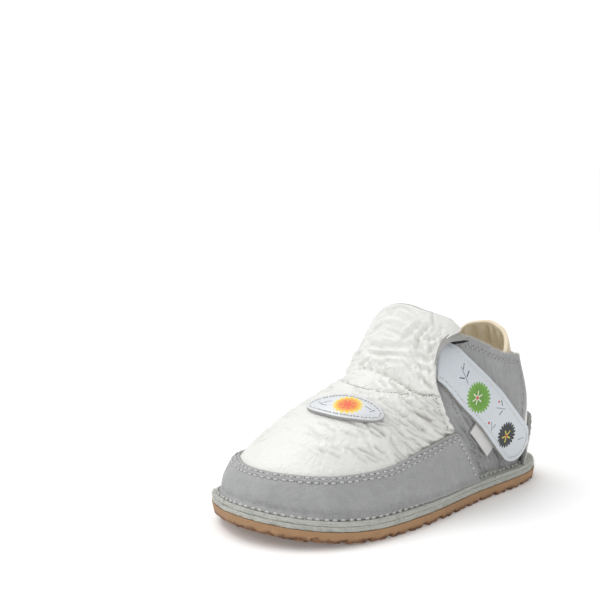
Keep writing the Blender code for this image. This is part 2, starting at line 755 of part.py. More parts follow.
def make_strap_line():
    """The strap's middle line as a curve of around, up and half width over the distance
    in mm from its rounded end, and its whole length."""
    table = np.array(STRAP_PATH)
    middle = wall(table[:, 0], table[:, 1])
    run = np.concatenate([[0], np.cumsum(length_of(np.diff(middle, axis=0))[:, 0])])
    return open_spline(run, table), run[-1]


strap_line, strap_length = make_strap_line()


def on_strap(distance, across):
    """around and up of a place at a distance from the strap's rounded end, and a signed
    number of mm across from its middle line, positive towards its upper edge."""
    distance, across = np.broadcast_arrays(np.asarray(distance, float), np.asarray(across, float))
    here = strap_line(distance)
    ahead = strap_line(distance + 0.5)
    behind = strap_line(distance - 0.5)
    forward = wall(ahead[..., 0], ahead[..., 1]) - wall(behind[..., 0], behind[..., 1])
    heading = np.cross(outward_normal(here[..., 0], here[..., 1]), forward)
    return walk(here[..., 0], here[..., 1], -heading, across)


def on_quarter(around, up):
    """Offset of whatever lies on the quarter, or runs on between the quarters."""
    return GAP + back_lap(around) - tuck(around, up) * (1 - GAP / 2 / TUCK_DEPTH)


def make_strap(look):
    distance = strap_length * np.linspace(0, 1, STRAP_STEPS)
    half_width = strap_line(distance)[:, 2]
    end = half_width[0]
    distance = np.sort(np.append(distance[distance > end], end * (1 - np.cos(
        np.linspace(0.08, 0.5, 7) * np.pi))))
    half_width = strap_line(distance)[:, 2]
    rounding = np.sqrt(1 - (1 - np.clip(distance / end, 0, 1)) ** 2)
    across = np.linspace(-1, 1, STRAP_ACROSS + 1)
    grid_across = across * (half_width * rounding)[:, None]
    grid_distance = np.repeat(distance[:, None], len(across), axis=1)
    around, up = on_strap(grid_distance, grid_across)
    over_pad = 1 - smooth(*STRAP_OVER_PAD, grid_distance)
    lift = on_quarter(around, up) + over_pad * (LOOP_PAD_THICKNESS + GAP)
    return shell("strap", skin(around, up, lift + STRAP_THICKNESS), skin(around, up, lift), look)


def make_under_strap(name, start, length, low, high, thickness, look):
    """A flat piece that lies between strap and quarter."""
    distance = np.linspace(start, start + length, 8)
    across = np.linspace(low, high, 4)
    grid_distance, grid_across = np.meshgrid(distance, across, indexing="ij")
    around, up = on_strap(grid_distance, grid_across)
    under = on_quarter(around, up)
    return shell(name, skin(around, up, under + thickness), skin(around, up, under), look)


def make_vamp_patch(look):
    """Oval patch on the vamp: rings of points round its centre, laid on the surface."""
    segments = 28
    angle = np.linspace(0, 2 * np.pi, segments, endpoint=False)
    rings = (1.0, 0.66, 0.33)
    turn = np.radians(PATCH_TURN)
    x = PATCH_LENGTH / 2 * np.cos(angle)
    y = PATCH_WIDTH / 2 * np.sin(angle)
    flat_x = x * np.cos(turn) - y * np.sin(turn)
    flat_y = x * np.sin(turn) + y * np.cos(turn)
    reach = np.concatenate([[0.0]] + [ring * np.hypot(flat_x, flat_y) for ring in rings])
    heading = np.column_stack([flat_x, flat_y, np.zeros(segments)])
    heading = np.concatenate([[[1.0, 0.0, 0.0]], *[heading] * len(rings)])
    around, up = walk(np.full(len(reach), PATCH_AROUND), np.full(len(reach), PATCH_UP),
                      heading, reach)
    count = len(reach)
    points = np.concatenate([skin(around, up, GAP + PATCH_THICKNESS), skin(around, up, GAP)])
    faces = []
    for layer in (0, count):
        for ring in range(len(rings) - 1):
            a, b = layer + 1 + ring * segments, layer + 1 + (ring + 1) * segments
            for i in range(segments):
                k = (i + 1) % segments
                faces.append([a + i, a + k, b + k, b + i])
        last = layer + 1 + (len(rings) - 1) * segments
        faces.extend([last + i, last + (i + 1) % segments, layer] for i in range(segments))
    for i in range(segments):
        k = (i + 1) % segments
        faces.append([1 + i, 1 + k, count + 1 + k, count + 1 + i])
    return add_object("vamp_patch", points, faces, look)


def make_heel_patch(look):
    """Patch over the lower heel, high at the back and low at both rounded ends."""
    reach = HEEL_PATCH_AROUND
    around = reach * np.sin(np.linspace(-0.5, 0.5, 19) * np.pi)
    foot = wall(around, np.zeros_like(around))[:, 2]
    share = np.abs(around) / reach
    rise = 1 - smooth(0.62, 0.86, share)
    tip = np.sqrt(np.clip(1 - share**8, 0.12, 1))
    tall = (HEEL_PATCH_END_HEIGHT + (HEEL_PATCH_HEIGHT - HEEL_PATCH_END_HEIGHT) * rise) * tip
    low = up_at_height(around, foot + 1.3)
    high = up_at_height(around, foot + 1.3 + tall)
    share = np.linspace(0, 1, 5)
    grid_around = np.repeat(around[:, None], len(share), axis=1)
    grid_up = low[:, None] + (high - low)[:, None] * share
    return shell("heel_patch", skin(grid_around, grid_up, GAP + HEEL_PATCH_THICKNESS),
                 skin(grid_around, grid_up, GAP), look)


def make_heel_lining(look):
    """Soft lining inside the quarters, from the insole to the collar, with a rounded tab
    that stands above the collar at the back of the heel."""
    back, quarter = quarter_grid()
    half = np.concatenate([back[:-1], quarter[quarter < LINING_AROUND - 0.004], [LINING_AROUND]])
    around = np.concatenate([-half[:0:-1], half])
    low = up_at_height(around, flange_bottom + INSOLE_THICKNESS + 2 * GAP + 0.4)
    tab = np.clip(1 - (np.abs(around) / HEEL_TAB_AROUND) ** 4, 0, 1)
    collar = top_line(around)[:, 2]
    below = wall(around, np.full_like(around, 5 / 3.0))[:, 2]
    reach = 3 * (collar - below)
    rise = (HEEL_TAB_HEIGHT - COLLAR_HEIGHT) * tab - LINING_BELOW_COLLAR * (1 - tab)
    high = 2.0 + rise / reach
    share = np.array([0, 0.13, 0.24, 0.35, 0.46, 0.60, 0.80, 0.90, 1.0])
    grid_around = np.repeat(around[:, None], len(share), axis=1)
    grid_up = low[:, None] + (high - low)[:, None] * share
    out = upper_inside(grid_around, np.maximum(grid_up, 0.3)) - GAP
    return shell("heel_lining", skin(grid_around, grid_up, out),
                 skin(grid_around, grid_up, out - LINING_THICKNESS), look)


def build():
    for old in list(bpy.data.objects):
        bpy.data.objects.remove(old)
    white = material("white_leather", (0.80, 0.80, 0.77), 0.55)
    upper = material("upper_leather", (0.80, 0.80, 0.77), 0.55)
    grey = material("grey_leather", (0.36, 0.36, 0.37), 0.60)
    felt = material("grey_felt_edge", (0.50, 0.52, 0.49), 0.90)
    gum = material("gum_rubber", (0.33, 0.19, 0.09), 0.70)
    beige = material("beige_lining", (0.62, 0.52, 0.36), 0.75)
    printed = material("printed_leather", (0.62, 0.66, 0.71), 0.45)
    hooks = material("loop_pad_black", (0.02, 0.02, 0.02), 0.95)
    ribbon = material("woven_ribbon", (0.62, 0.60, 0.56), 0.85)

    make_outsole(gum)
    slab("midsole", FLANGE_INSET, midsole_bottom, MIDSOLE_THICKNESS, felt)
    slab("insole", feather_inset + WALL + 3 * GAP, flange_bottom, INSOLE_THICKNESS, beige)
    make_upper(upper)
    make_tongue(white)
    make_rand(grey)
    make_heel_lining(beige)
    make_strap(printed)
    make_under_strap("loop_pad", LOOP_PAD_FROM_TIP, LOOP_PAD_LENGTH, LOOP_PAD_LOW,
                     LOOP_PAD_LOW + LOOP_PAD_WIDTH, LOOP_PAD_THICKNESS, hooks)
    make_under_strap("label_tab", LABEL_FROM_TIP, LABEL_LENGTH,
                     -STRAP_PATH[0][2] - LABEL_SHOWS,
                     -STRAP_PATH[0][2] - LABEL_SHOWS + LABEL_WIDTH, LABEL_THICKNESS, ribbon)
    make_vamp_patch(printed)
    make_heel_patch(white)


build()
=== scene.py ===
import bpy
import numpy as np
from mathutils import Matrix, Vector


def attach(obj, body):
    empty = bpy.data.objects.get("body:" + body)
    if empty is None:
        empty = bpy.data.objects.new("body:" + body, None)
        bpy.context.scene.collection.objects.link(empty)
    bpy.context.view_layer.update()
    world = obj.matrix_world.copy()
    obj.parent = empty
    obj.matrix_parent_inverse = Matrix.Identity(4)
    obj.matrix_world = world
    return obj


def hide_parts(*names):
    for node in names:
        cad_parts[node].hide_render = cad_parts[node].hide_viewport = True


# Looks of the left first walker shoe. Lengths are in millimetres until a mesh is
# written. The toe points to -Y, the heel to +Y, the outer side to +X, and the ground is
# z = 0. Every leather piece is cut from one surface, wall(around, up), as in the part:
#   around  0 at the back of the heel, 0.5 at the tip of the toe, 1 at the heel again
#   up      0 at the foot of the wall, 1 on the gathered seam's height, 2 on the top line

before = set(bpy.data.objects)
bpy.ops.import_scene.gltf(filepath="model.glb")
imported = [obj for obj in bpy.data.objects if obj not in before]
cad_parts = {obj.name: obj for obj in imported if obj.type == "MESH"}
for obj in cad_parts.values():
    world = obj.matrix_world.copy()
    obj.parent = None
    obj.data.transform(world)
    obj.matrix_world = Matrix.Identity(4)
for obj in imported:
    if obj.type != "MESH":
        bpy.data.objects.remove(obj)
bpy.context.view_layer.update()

MILLIMETRE = 0.001

# Sizes that the part has too
LENGTH = 142.0
BALL_WIDTH = 69.5
HEEL_WIDTH = 50.0
INSTEP_HEIGHT = 71.5
GIRTH_HEIGHT = 50.0
COLLAR_HEIGHT = 49.5
HEEL_TAB_HEIGHT = 62.5
TOE_SPRING = 5.0
OUTSOLE_THICKNESS = 4.2
MIDSOLE_THICKNESS = 1.4
INSOLE_THICKNESS = 2.2
TREAD_PITCH = 8.9
TREAD_GROOVE = 3.0
TREAD_DEPTH = 1.2
TREAD_WAVE = 1.6
WALL = 1.5
FLANGE_WIDTH = 4.4
FLANGE_INSET = 0.5
RAND_THICKNESS = 1.3
TONGUE_THICKNESS = 1.4
TONGUE_FLARE = 2.0
MEDIAL_FLARE = 0.8
TONGUE_CORNER_RISE = 2.6
FLARE_WIDTH = 13.0
THROAT_LAP = 6.0
LAP_FADE = 14.0
TUCK_FADE = 17.0
BACK_LAP_STEP = 1.0
BACK_LAP_FADE = 16.0
LINING_THICKNESS = 1.8
PATCH_THICKNESS = 1.4
HEEL_PATCH_THICKNESS = 1.3
STRAP_THICKNESS = 1.6
LOOP_PAD_THICKNESS = 0.9
LOOP_PAD_FROM_TIP = 6.0
LOOP_PAD_LENGTH = 24.5
LOOP_PAD_LOW = -6.6
LOOP_PAD_WIDTH = 12.6
LABEL_THICKNESS = 0.7
LABEL_FROM_TIP = 16.5
LABEL_LENGTH = 17.0
LABEL_WIDTH = 5.0
LABEL_SHOWS = 4.2
GAP = 0.3
LAP_DEPTH = TONGUE_THICKNESS + GAP
TUCK_DEPTH = TONGUE_THICKNESS + STRAP_THICKNESS + 3 * GAP
PATCH_LENGTH = 28.8
PATCH_WIDTH = 12.6
PATCH_AROUND = 0.452
PATCH_UP = 0.714
PATCH_TURN = 24.0
HEEL_PATCH_HEIGHT = 16.0
HEEL_PATCH_END_HEIGHT = 7.4
HEEL_PATCH_AROUND = 0.093

OUTLINE = (
    # along, medial, lateral
    (0.00, 0.000, 0.000),
    (0.02, 0.244, 0.244),
    (0.06, 0.376, 0.384),
    (0.12, 0.452, 0.464),
    (0.20, 0.488, 0.506),
    (0.35, 0.461, 0.503),
    (0.50, 0.438, 0.495),
    (0.65, 0.473, 0.498),
    (0.75, 0.500, 0.495),
    (0.85, 0.477, 0.443),
    (0.92, 0.401, 0.354),
    (0.97, 0.260, 0.227),
    (1.00, 0.045, -0.050),
)
WAIST_FROM = 0.20
WAIST_TO = 0.65
SPRING_FROM = 0.70

STATION_COLUMNS = (
    "around", "foot", "girth_x", "girth_y", "girth_z", "top_x", "top_y", "top_z",
    "rise", "lean", "bulge", "crown", "sweep",
)
STATIONS = (
    (0.000, 0.000, 0.000, 0.032, 0.662, 0.000, 0.064, 0.685, 9.0, 0.0, 1.8, 0.0, 1.0),
    (0.050, 0.095, 0.178, 0.052, 0.662, 0.140, 0.082, 0.680, 9.0, 0.0, 1.8, 0.0, 1.0),
    (0.095, 0.185, 0.300, 0.125, 0.680, 0.245, 0.130, 0.702, 9.0, 0.0, 1.6, 0.0, 1.0),
    (0.150, 0.275, 0.365, 0.290, 0.773, 0.332, 0.285, 0.835, 9.5, 0.0, 1.2, 0.0, 1.0),
    (0.175, 0.312, 0.390, 0.405, 0.842, 0.344, 0.365, 0.888, 10.2, 0.4, 1.1, 0.0, 1.0),
    (0.200, 0.348, 0.396, 0.502, 0.890, 0.338, 0.438, 0.928, 11.0, 1.0, 1.0, 0.0, 1.0),
    (0.245, 0.460, 0.362, 0.524, 0.890, 0.300, 0.460, 0.968, 12.0, 1.0, 0.6, 0.0, 0.6),
    (0.300, 0.590, 0.290, 0.533, 0.892, 0.235, 0.473, 1.005, 13.0, 1.0, 0.5, 1.0, 0.2),
    (0.370, 0.740, 0.202, 0.537, 0.932, 0.155, 0.480, 1.030, 14.5, 0.0, 0.4, 2.0, 0.0),
    (0.435, 0.870, 0.105, 0.541, 0.975, 0.078, 0.483, 1.035, 15.5, 0.0, 0.8, 1.5, 0.0),
    (0.500, 1.000, 0.000, 0.543, 1.000, 0.000, 0.483, 1.025, 15.5, 0.0, 1.0, 1.0, 0.0),
    (0.565, 0.870, -0.102, 0.538, 0.985, -0.078, 0.476, 0.995, 15.5, 0.0, 0.8, 1.5, 0.0),
    (0.630, 0.740, -0.195, 0.529, 0.948, -0.155, 0.466, 0.955, 14.5, 0.0, 0.4, 2.0, 0.0),
    (0.700, 0.590, -0.272, 0.516, 0.910, -0.225, 0.446, 0.912, 13.0, 1.0, 0.5, 1.0, 0.2),
    (0.755, 0.460, -0.328, 0.501, 0.890, -0.268, 0.424, 0.882, 12.0, 1.0, 0.6, 0.0, 0.6),
    (0.800, 0.350, -0.360, 0.472, 0.870, -0.298, 0.396, 0.865, 11.0, 1.0, 1.0, 0.0, 1.0),
    (0.825, 0.312, -0.362, 0.388, 0.822, -0.312, 0.342, 0.832, 10.2, 0.4, 1.1, 0.0, 1.0),
    (0.850, 0.275, -0.345, 0.285, 0.764, -0.308, 0.280, 0.790, 9.5, 0.0, 1.2, 0.0, 1.0),
    (0.905, 0.185, -0.290, 0.120, 0.672, -0.238, 0.128, 0.690, 9.0, 0.0, 1.6, 0.0, 1.0),
    (0.950, 0.095, -0.173, 0.050, 0.662, -0.138, 0.082, 0.680, 9.0, 0.0, 1.8, 0.0, 1.0),
)
EDGE_AROUND = 0.200
BACK_SEAM_AROUND = 0.095
LINING_AROUND = 0.190
HEEL_TAB_AROUND = 0.120
LINING_BELOW_COLLAR = 1.2
WALL_REACH = 0.42
SWEEP_REACH = 0.36

RAND_EDGE = (
    # along, height
    (0.36, 0.590),
    (0.46, 0.566),
    (0.55, 0.520),
    (0.70, 0.451),
    (0.82, 0.446),
    (0.90, 0.460),
    (1.00, 0.465),
)
STRAP_PATH = (
    # around, up, half width
    (0.1000, 0.195, 7.9),
    (0.1203, 0.375, 7.9),
    (0.1368, 0.535, 7.9),
    (0.1500, 0.708, 7.9),
    (0.1590, 0.885, 7.9),
    (0.1673, 1.085, 7.9),
    (0.1778, 1.308, 7.9),
    (0.1893, 1.505, 7.9),
    (0.2050, 1.580, 7.9),
    (0.2350, 1.600, 7.8),
    (0.3000, 1.580, 7.8),
    (0.4000, 1.520, 7.8),
    (0.5000, 1.500, 7.8),
    (0.6000, 1.520, 7.8),
    (0.7000, 1.560, 7.6),
    (0.7650, 1.580, 7.2),
    (0.8100, 1.580, 7.0),
    (0.8450, 1.540, 7.0),
)
STRAP_OVER_PAD = (30.0, 42.0)
TONGUE_CUT = (
    # up, how far the side edge is cut in there in mm
    (0.98, 0.0),
    (1.12, 1.3),
    (1.30, 3.4),
    (1.50, 4.2),
    (1.66, 3.6),
    (1.80, 1.6),
    (1.92, -0.6),
    (2.05, -1.8),
)
COLLAR_DIP = 2.6
STRAP_CUT = 1.6
SECOND_GATHER = (
    # around, up of the second row of gathering stitches
    (0.325, 0.962), (0.345, 0.945), (0.369, 0.925), (0.420, 0.885), (0.468, 0.870),
    (0.532, 0.870), (0.580, 0.885), (0.631, 0.925), (0.655, 0.945), (0.675, 0.962),
)

# Creases worn into the leather: places on the wall that each one runs through, its width
# and its depth in mm, where a depth below 0 is a ridge
TONGUE_CREASES = (
    # path (around, up), width, depth
    (((0.640, 1.52), (0.585, 1.42), (0.528, 1.35), (0.450, 1.38), (0.400, 1.45),
      (0.350, 1.52)), 1.3, 0.75),
    (((0.620, 1.40), (0.560, 1.27), (0.500, 1.25), (0.430, 1.31), (0.370, 1.37)), 1.0, 0.95),
    (((0.610, 1.46), (0.540, 1.31), (0.470, 1.30), (0.400, 1.38)), 1.2, -0.45),
    (((0.600, 1.02), (0.572, 1.10), (0.548, 1.18), (0.520, 1.23)), 0.9, 0.65),
    (((0.480, 1.05), (0.470, 1.14), (0.440, 1.20), (0.390, 1.25)), 1.0, 0.40),
    (((0.270, 1.93), (0.290, 1.84), (0.312, 1.74), (0.330, 1.63), (0.326, 1.53),
      (0.296, 1.49)), 0.9, 0.78),
    (((0.300, 1.85), (0.335, 1.78), (0.365, 1.69), (0.399, 1.56), (0.425, 1.47)), 1.1, 0.60),
    (((0.258, 1.66), (0.255, 1.60), (0.252, 1.54)), 1.3, 1.00),
    (((0.240, 1.80), (0.262, 1.72), (0.290, 1.69), (0.310, 1.70)), 0.8, 0.60),
    (((0.232, 1.50), (0.270, 1.44), (0.310, 1.43), (0.345, 1.45)), 1.0, 0.60),
    (((0.310, 1.25), (0.280, 1.17), (0.250, 1.11), (0.220, 1.03)), 0.7, 0.75),
    (((0.300, 1.29), (0.270, 1.21), (0.240, 1.14), (0.212, 1.06)), 0.9, -0.55),
    (((0.225, 1.36), (0.260, 1.30), (0.300, 1.31), (0.340, 1.30)), 0.9, 0.50),
    (((0.360, 1.16), (0.345, 1.30), (0.352, 1.42)), 1.4, 0.35),
    (((0.460, 1.92), (0.500, 1.86), (0.560, 1.88)), 1.2, 0.35),
    (((0.520, 1.72), (0.580, 1.66), (0.640, 1.70)), 1.3, 0.40),
    (((0.735, 1.90), (0.708, 1.78), (0.690, 1.64), (0.700, 1.50)), 0.9, 0.85),
    (((0.690, 1.86), (0.655, 1.72), (0.640, 1.58), (0.600, 1.50)), 1.1, 0.60),
    (((0.752, 1.66), (0.745, 1.56), (0.752, 1.48)), 1.3, 0.85),
    (((0.775, 1.40), (0.730, 1.34), (0.680, 1.36), (0.640, 1.32)), 1.0, 0.65),
    (((0.780, 1.16), (0.740, 1.20), (0.700, 1.26), (0.660, 1.24)), 0.8, 0.65),
    (((0.770, 1.06), (0.730, 1.11), (0.690, 1.15)), 0.9, -0.40),
)
VAMP_CREASES = (
    # path (around, up), width, depth
    (((0.345, 0.93), (0.300, 0.95), (0.255, 0.95), (0.215, 0.90)), 0.9, 0.60),
    (((0.335, 0.88), (0.300, 0.89), (0.256, 0.85), (0.211, 0.74)), 1.0, 0.65),
    (((0.330, 0.82), (0.290, 0.80), (0.254, 0.72), (0.217, 0.61)), 1.0, 0.70),
    (((0.355, 0.80), (0.310, 0.74), (0.270, 0.64), (0.235, 0.53)), 1.1, 0.55),
    (((0.365, 0.72), (0.330, 0.66), (0.290, 0.56), (0.262, 0.47)), 1.1, 0.50),
    (((0.390, 0.70), (0.350, 0.60), (0.318, 0.50)), 1.0, 0.45),
    (((0.400, 0.62), (0.372, 0.54), (0.350, 0.46)), 1.0, 0.35),
    (((0.322, 0.77), (0.286, 0.70), (0.250, 0.62)), 0.7, -0.35),
    (((0.345, 0.70), (0.306, 0.62), (0.276, 0.53)), 0.7, -0.30),
    (((0.325, 0.962), (0.369, 0.925), (0.420, 0.885), (0.468, 0.870), (0.532, 0.870),
      (0.580, 0.885), (0.631, 0.925), (0.675, 0.962)), 0.65, 0.60),
    (((0.520, 0.82), (0.575, 0.80), (0.630, 0.84)), 1.0, 0.30),
    (((0.655, 0.94), (0.700, 0.95), (0.745, 0.92), (0.785, 0.86)), 0.9, 0.60),
    (((0.665, 0.86), (0.710, 0.85), (0.750, 0.78), (0.788, 0.68)), 1.0, 0.65),
    (((0.668, 0.78), (0.710, 0.74), (0.745, 0.65), (0.775, 0.55)), 1.0, 0.60),
    (((0.640, 0.74), (0.680, 0.68), (0.715, 0.58)), 1.0, 0.50),
    (((0.615, 0.68), (0.650, 0.60), (0.678, 0.51)), 1.0, 0.40),
)
QUARTER_CREASES = (
    # path (around, up), width, depth
    (((0.197, 0.42), (0.176, 0.36), (0.160, 0.26), (0.150, 0.12)), 1.0, 0.55),
    (((0.192, 0.62), (0.180, 0.52), (0.172, 0.40)), 0.9, 0.50),
    (((0.186, 0.28), (0.170, 0.20), (0.158, 0.08)), 0.9, 0.45),
    (((0.140, 0.22), (0.132, 0.13), (0.128, 0.04)), 0.8, 0.40),
    (((0.120, 0.16), (0.128, 0.09), (0.140, 0.04)), 0.8, 0.35),
    (((0.128, 1.02), (0.136, 1.30), (0.138, 1.70)), 1.1, 0.35),
    (((0.108, 0.86), (0.112, 1.10), (0.110, 1.50)), 1.0, 0.30),
    (((0.806, 0.55), (0.822, 0.46), (0.838, 0.34), (0.850, 0.16)), 1.0, 0.55),
    (((0.812, 0.82), (0.826, 0.72), (0.842, 0.66), (0.862, 0.62)), 1.0, 0.45),
    (((0.816, 1.10), (0.832, 1.00), (0.852, 0.94)), 1.0, 0.45),
    (((0.872, 1.55), (0.868, 1.20), (0.872, 0.90)), 1.2, 0.40),
    (((0.895, 0.95), (0.885, 0.75), (0.880, 0.55)), 1.0, 0.35),
)

# The photograph's camera, found from the outline of the sole
CAMERA_AZIMUTH = 46.5
CAMERA_ELEVATION = 14.26
CAMERA_DISTANCE = 0.46
CAMERA_TARGET = (0.0, 0.0, 0.025)
CAMERA_LENS = 74.15
CAMERA_SHIFT = (-0.1457, 0.2234)

# Soft studio light and the floor, in metres
SUN_STRENGTH = 1.25
SUN_WIDTH = 38
SUN_AIM = (0.42, 0.10, -1.0)
LAMP_SIZE = 0.5
LAMPS = (
    # name, place, energy
    ("softbox", (-0.25, -0.45, 0.55), 1.1),
    ("fill_box", (0.62, -0.30, 0.30), 0.45),
)
ROOM_ON_SHOE = 0.61
ROOM_IN_PICTURE = 1.05
FLOOR_REACH = 3.0
FLOOR_GLOW = 0.13

# How far in mm the wear along a sheet's edge reaches over it
RIM_REACH = 2.5


# The surface of the upper, as in the part


def periodic_spline(knots, values, period):
    """A smooth closed curve through values at knots: cubic pieces whose slopes and
    curvatures agree, including where the last knot runs on to the first."""
    knots = np.asarray(knots, float)
    values = np.asarray(values, float)
    count = len(knots)
    step = np.diff(np.append(knots, knots[0] + period))
    rise = (np.roll(values, -1, axis=0) - values) / step[:, None]
    system = np.zeros((count, count))
    for k in range(count):
        system[k, k - 1] += step[k - 1]
        system[k, k] += 2 * (step[k - 1] + step[k])
        system[k, (k + 1) % count] += step[k]
    bend = np.linalg.solve(system, 6 * (rise - np.roll(rise, 1, axis=0)))
    ahead_value = np.roll(values, -1, axis=0)
    ahead_bend = np.roll(bend, -1, axis=0)

    def curve(at):
        at = (np.asarray(at, float) - knots[0]) % period + knots[0]
        k = np.clip(np.searchsorted(knots, at, side="right") - 1, 0, count - 1)
        h = step[k][..., None]
        a = (knots[k] + step[k] - at)[..., None]
        b = (at - knots[k])[..., None]
        cubic = (bend[k] * a**3 + ahead_bend[k] * b**3) / (6 * h)
        line = (values[k] / h - bend[k] * h / 6) * a
        return cubic + line + (ahead_value[k] / h - ahead_bend[k] * h / 6) * b

    return curve


def open_spline(knots, values):
    """A smooth curve through values at knots that never swings past them: each slope is
    the harmonic mean of its two neighbouring rises, or level where they differ in sign."""
    knots = np.asarray(knots, float)
    values = np.asarray(values, float)
    if values.ndim == 1:
        values = values[:, None]
    rise = np.diff(values, axis=0) / np.diff(knots)[:, None]
    before, after = rise[:-1], rise[1:]
    same = before * after > 0
    mean = 2 * before * after / np.where(same, before + after, 1.0)
    slope = np.concatenate([rise[:1], np.where(same, mean, 0.0), rise[-1:]])

    def curve(at):
        at = np.clip(np.asarray(at, float), knots[0], knots[-1])
        k = np.clip(np.searchsorted(knots, at, side="right") - 1, 0, len(knots) - 2)
        h = (knots[k + 1] - knots[k])[..., None]
        t = (at - knots[k])[..., None] / h
        start = (1 + 2 * t) * (1 - t) ** 2 * values[k] + t * (1 - t) ** 2 * h * slope[k]
        end = t**2 * (3 - 2 * t) * values[k + 1] + t**2 * (t - 1) * h * slope[k + 1]
        return start + end

    return curve


def smooth(low, high, x):
    """0 below low, 1 above high, with a soft S between."""
    t = np.clip((np.asarray(x, float) - low) / (high - low), 0, 1)
    return t * t * (3 - 2 * t)


def from_heel(share):
    """y of a share of the sole's length, counted from the heel."""
    return LENGTH * (0.5 - share)


def share_of(y):
    """Share of the sole's length at y, counted from the heel."""
    return 0.5 - np.asarray(y, float) / LENGTH


def spring(y):
    """How far the sole is lifted at y: nothing up to the ball, then a parabola."""
    past = np.clip((share_of(y) - SPRING_FROM) / (1 - SPRING_FROM), 0, None)
    return TOE_SPRING * past**2


def local_width(share):
    """The heel's width, growing softly into the ball's."""
    return HEEL_WIDTH + (BALL_WIDTH - HEEL_WIDTH) * smooth(WAIST_FROM, WAIST_TO, share)


def make_outline():
    """The closed outline of the sole as a function of around, with its outward normal."""
    lateral = [(wide * local_width(at), from_heel(at)) for at, _, wide in OUTLINE]
    medial = [(-wide * local_width(at), from_heel(at)) for at, wide, _ in OUTLINE]
    loop = np.array(lateral[:-1] + [((lateral[-1][0] + medial[-1][0]) / 2, from_heel(1.0))]
                    + medial[-2:0:-1])
    chord = np.linalg.norm(np.roll(loop, -1, axis=0) - loop, axis=1)
    knots = np.concatenate([[0], np.cumsum(chord)[:-1]])
    around_all = chord.sum()
    toe = knots[len(OUTLINE) - 1]
    curve = periodic_spline(knots, loop, around_all)

    def along(around):
        around = np.asarray(around, float) % 1.0
        first = around * 2 * toe
        second = toe + (around - 0.5) * 2 * (around_all - toe)
        return np.where(around < 0.5, first, second)

    def outline(around, inset=0.0):
        d = along(around)
        point = curve(d)
        run = curve(d + 0.2) - curve(d - 0.2)
        run /= np.linalg.norm(run, axis=-1, keepdims=True)
        outward = np.stack([-run[..., 1], run[..., 0]], axis=-1)
        return point - outward * np.asarray(inset, float)[..., None], outward

    return outline


outline = make_outline()
midsole_bottom = OUTSOLE_THICKNESS + GAP
flange_bottom = midsole_bottom + MIDSOLE_THICKNESS + GAP
flange_top = flange_bottom + WALL
feather_inset = FLANGE_INSET + FLANGE_WIDTH


def make_stations():
    """Curves over around: foot share, girth line, top line and handle sizes, as splines
    over the length run along the girth line."""
    rows = [dict(zip(STATION_COLUMNS, row)) for row in STATIONS]
    knots = [row["around"] for row in rows]
    foot = [row["foot"] / 2 if row["around"] <= 0.5 else 1 - row["foot"] / 2 for row in rows]
    slip = [[at - around] for at, around in zip(foot, knots)]
    girth = [(row["girth_x"] * BALL_WIDTH, from_heel(row["girth_y"]),
              row["girth_z"] * GIRTH_HEIGHT) for row in rows]
    top = [(row["top_x"] * BALL_WIDTH, from_heel(row["top_y"]),
            row["top_z"] * INSTEP_HEIGHT) for row in rows]
    names = ("rise", "lean", "bulge", "crown", "sweep")
    handles = [[row[name] for name in names] for row in rows]
    loop = (np.array(girth + girth[:1]) + np.array(top + top[:1])) / 2
    run = np.concatenate([[0], np.cumsum(np.linalg.norm(np.diff(loop, axis=0), axis=1))])
    place = open_spline(knots + [1.0], run)
    lines = [periodic_spline(run[:-1], values, run[-1]) for values in (slip, girth, top)]
    curves = lines + [open_spline(run, handles + handles[:1])]

    def over_around(curve):
        return lambda around: curve(place(np.asarray(around, float) % 1.0)[..., 0])

    return [over_around(curve) for curve in curves]


foot_slip, girth_line, top_line, handle_sizes = make_stations()


def bezier(a, b, c, d, t):
    """Cubic Bezier curve from a to d with handles b and c."""
    t = t[..., None]
    return (1 - t) ** 3 * a + 3 * t * (1 - t) ** 2 * b + 3 * t**2 * (1 - t) * c + t**3 * d


def length_of(vectors):
    """Lengths of vectors, with a last axis of one."""
    return np.linalg.norm(vectors, axis=-1, keepdims=True)


def unit(vectors):
    """Vectors of the same directions and length 1."""
    return vectors / np.maximum(length_of(vectors), 1e-9)


def wall(around, up):
    """Points of the upper's outer surface: for each place around the shoe, one Bezier
    curve from the foot of the wall to the girth line, and one from there to the top."""
    around, up = np.broadcast_arrays(np.asarray(around, float), np.asarray(up, float))
    edge, outward = outline(around + foot_slip(around)[..., 0], feather_inset)
    foot = np.concatenate([edge, (flange_top + spring(edge[..., 1]))[..., None]], axis=-1)
    outward = np.concatenate([outward, np.zeros_like(outward[..., :1])], axis=-1)
    girth, top = girth_line(around), top_line(around)
    sizes = handle_sizes(around)
    rise, lean, bulge, crown, sweep = (sizes[..., k:k + 1] for k in range(5))
    vertical = np.array([0.0, 0.0, 1.0])
    toeward = np.array([0.0, -1.0, 0.0])
    first = foot + rise * vertical + lean * toeward + bulge * outward
    creased = girth + WALL_REACH * (first - girth) + crown * vertical
    climb = (top - first) / length_of(top - first)
    swept = girth - SWEEP_REACH * length_of(girth - first) * climb
    second = creased + sweep * (swept - creased)
    straight = girth + (top - girth) / 3
    third = straight + sweep * (girth + climb * length_of(top - girth) / 3 - straight)
    fourth = top - (top - girth) / 3
    lower = bezier(foot, first, second, girth, np.clip(up, -0.05, 1.0))
    upper = bezier(girth, third, fourth, top, np.clip(up - 1.0, 0.0, 1.0))
    above = (np.clip(up, 2.0, None) - 2.0)[..., None] * 3 * (top - fourth)
    return np.where(up[..., None] <= 1.0, lower, upper + above)


def outward_normal(around, up):
    """The wall's normal, out of the shoe: climb crossed with run."""
    step_around, step_up = 0.004, 0.02
    run = wall(around + step_around, up) - wall(around - step_around, up)
    climb = wall(around, up + step_up) - wall(around, up - step_up)
    return unit(np.cross(climb, run))


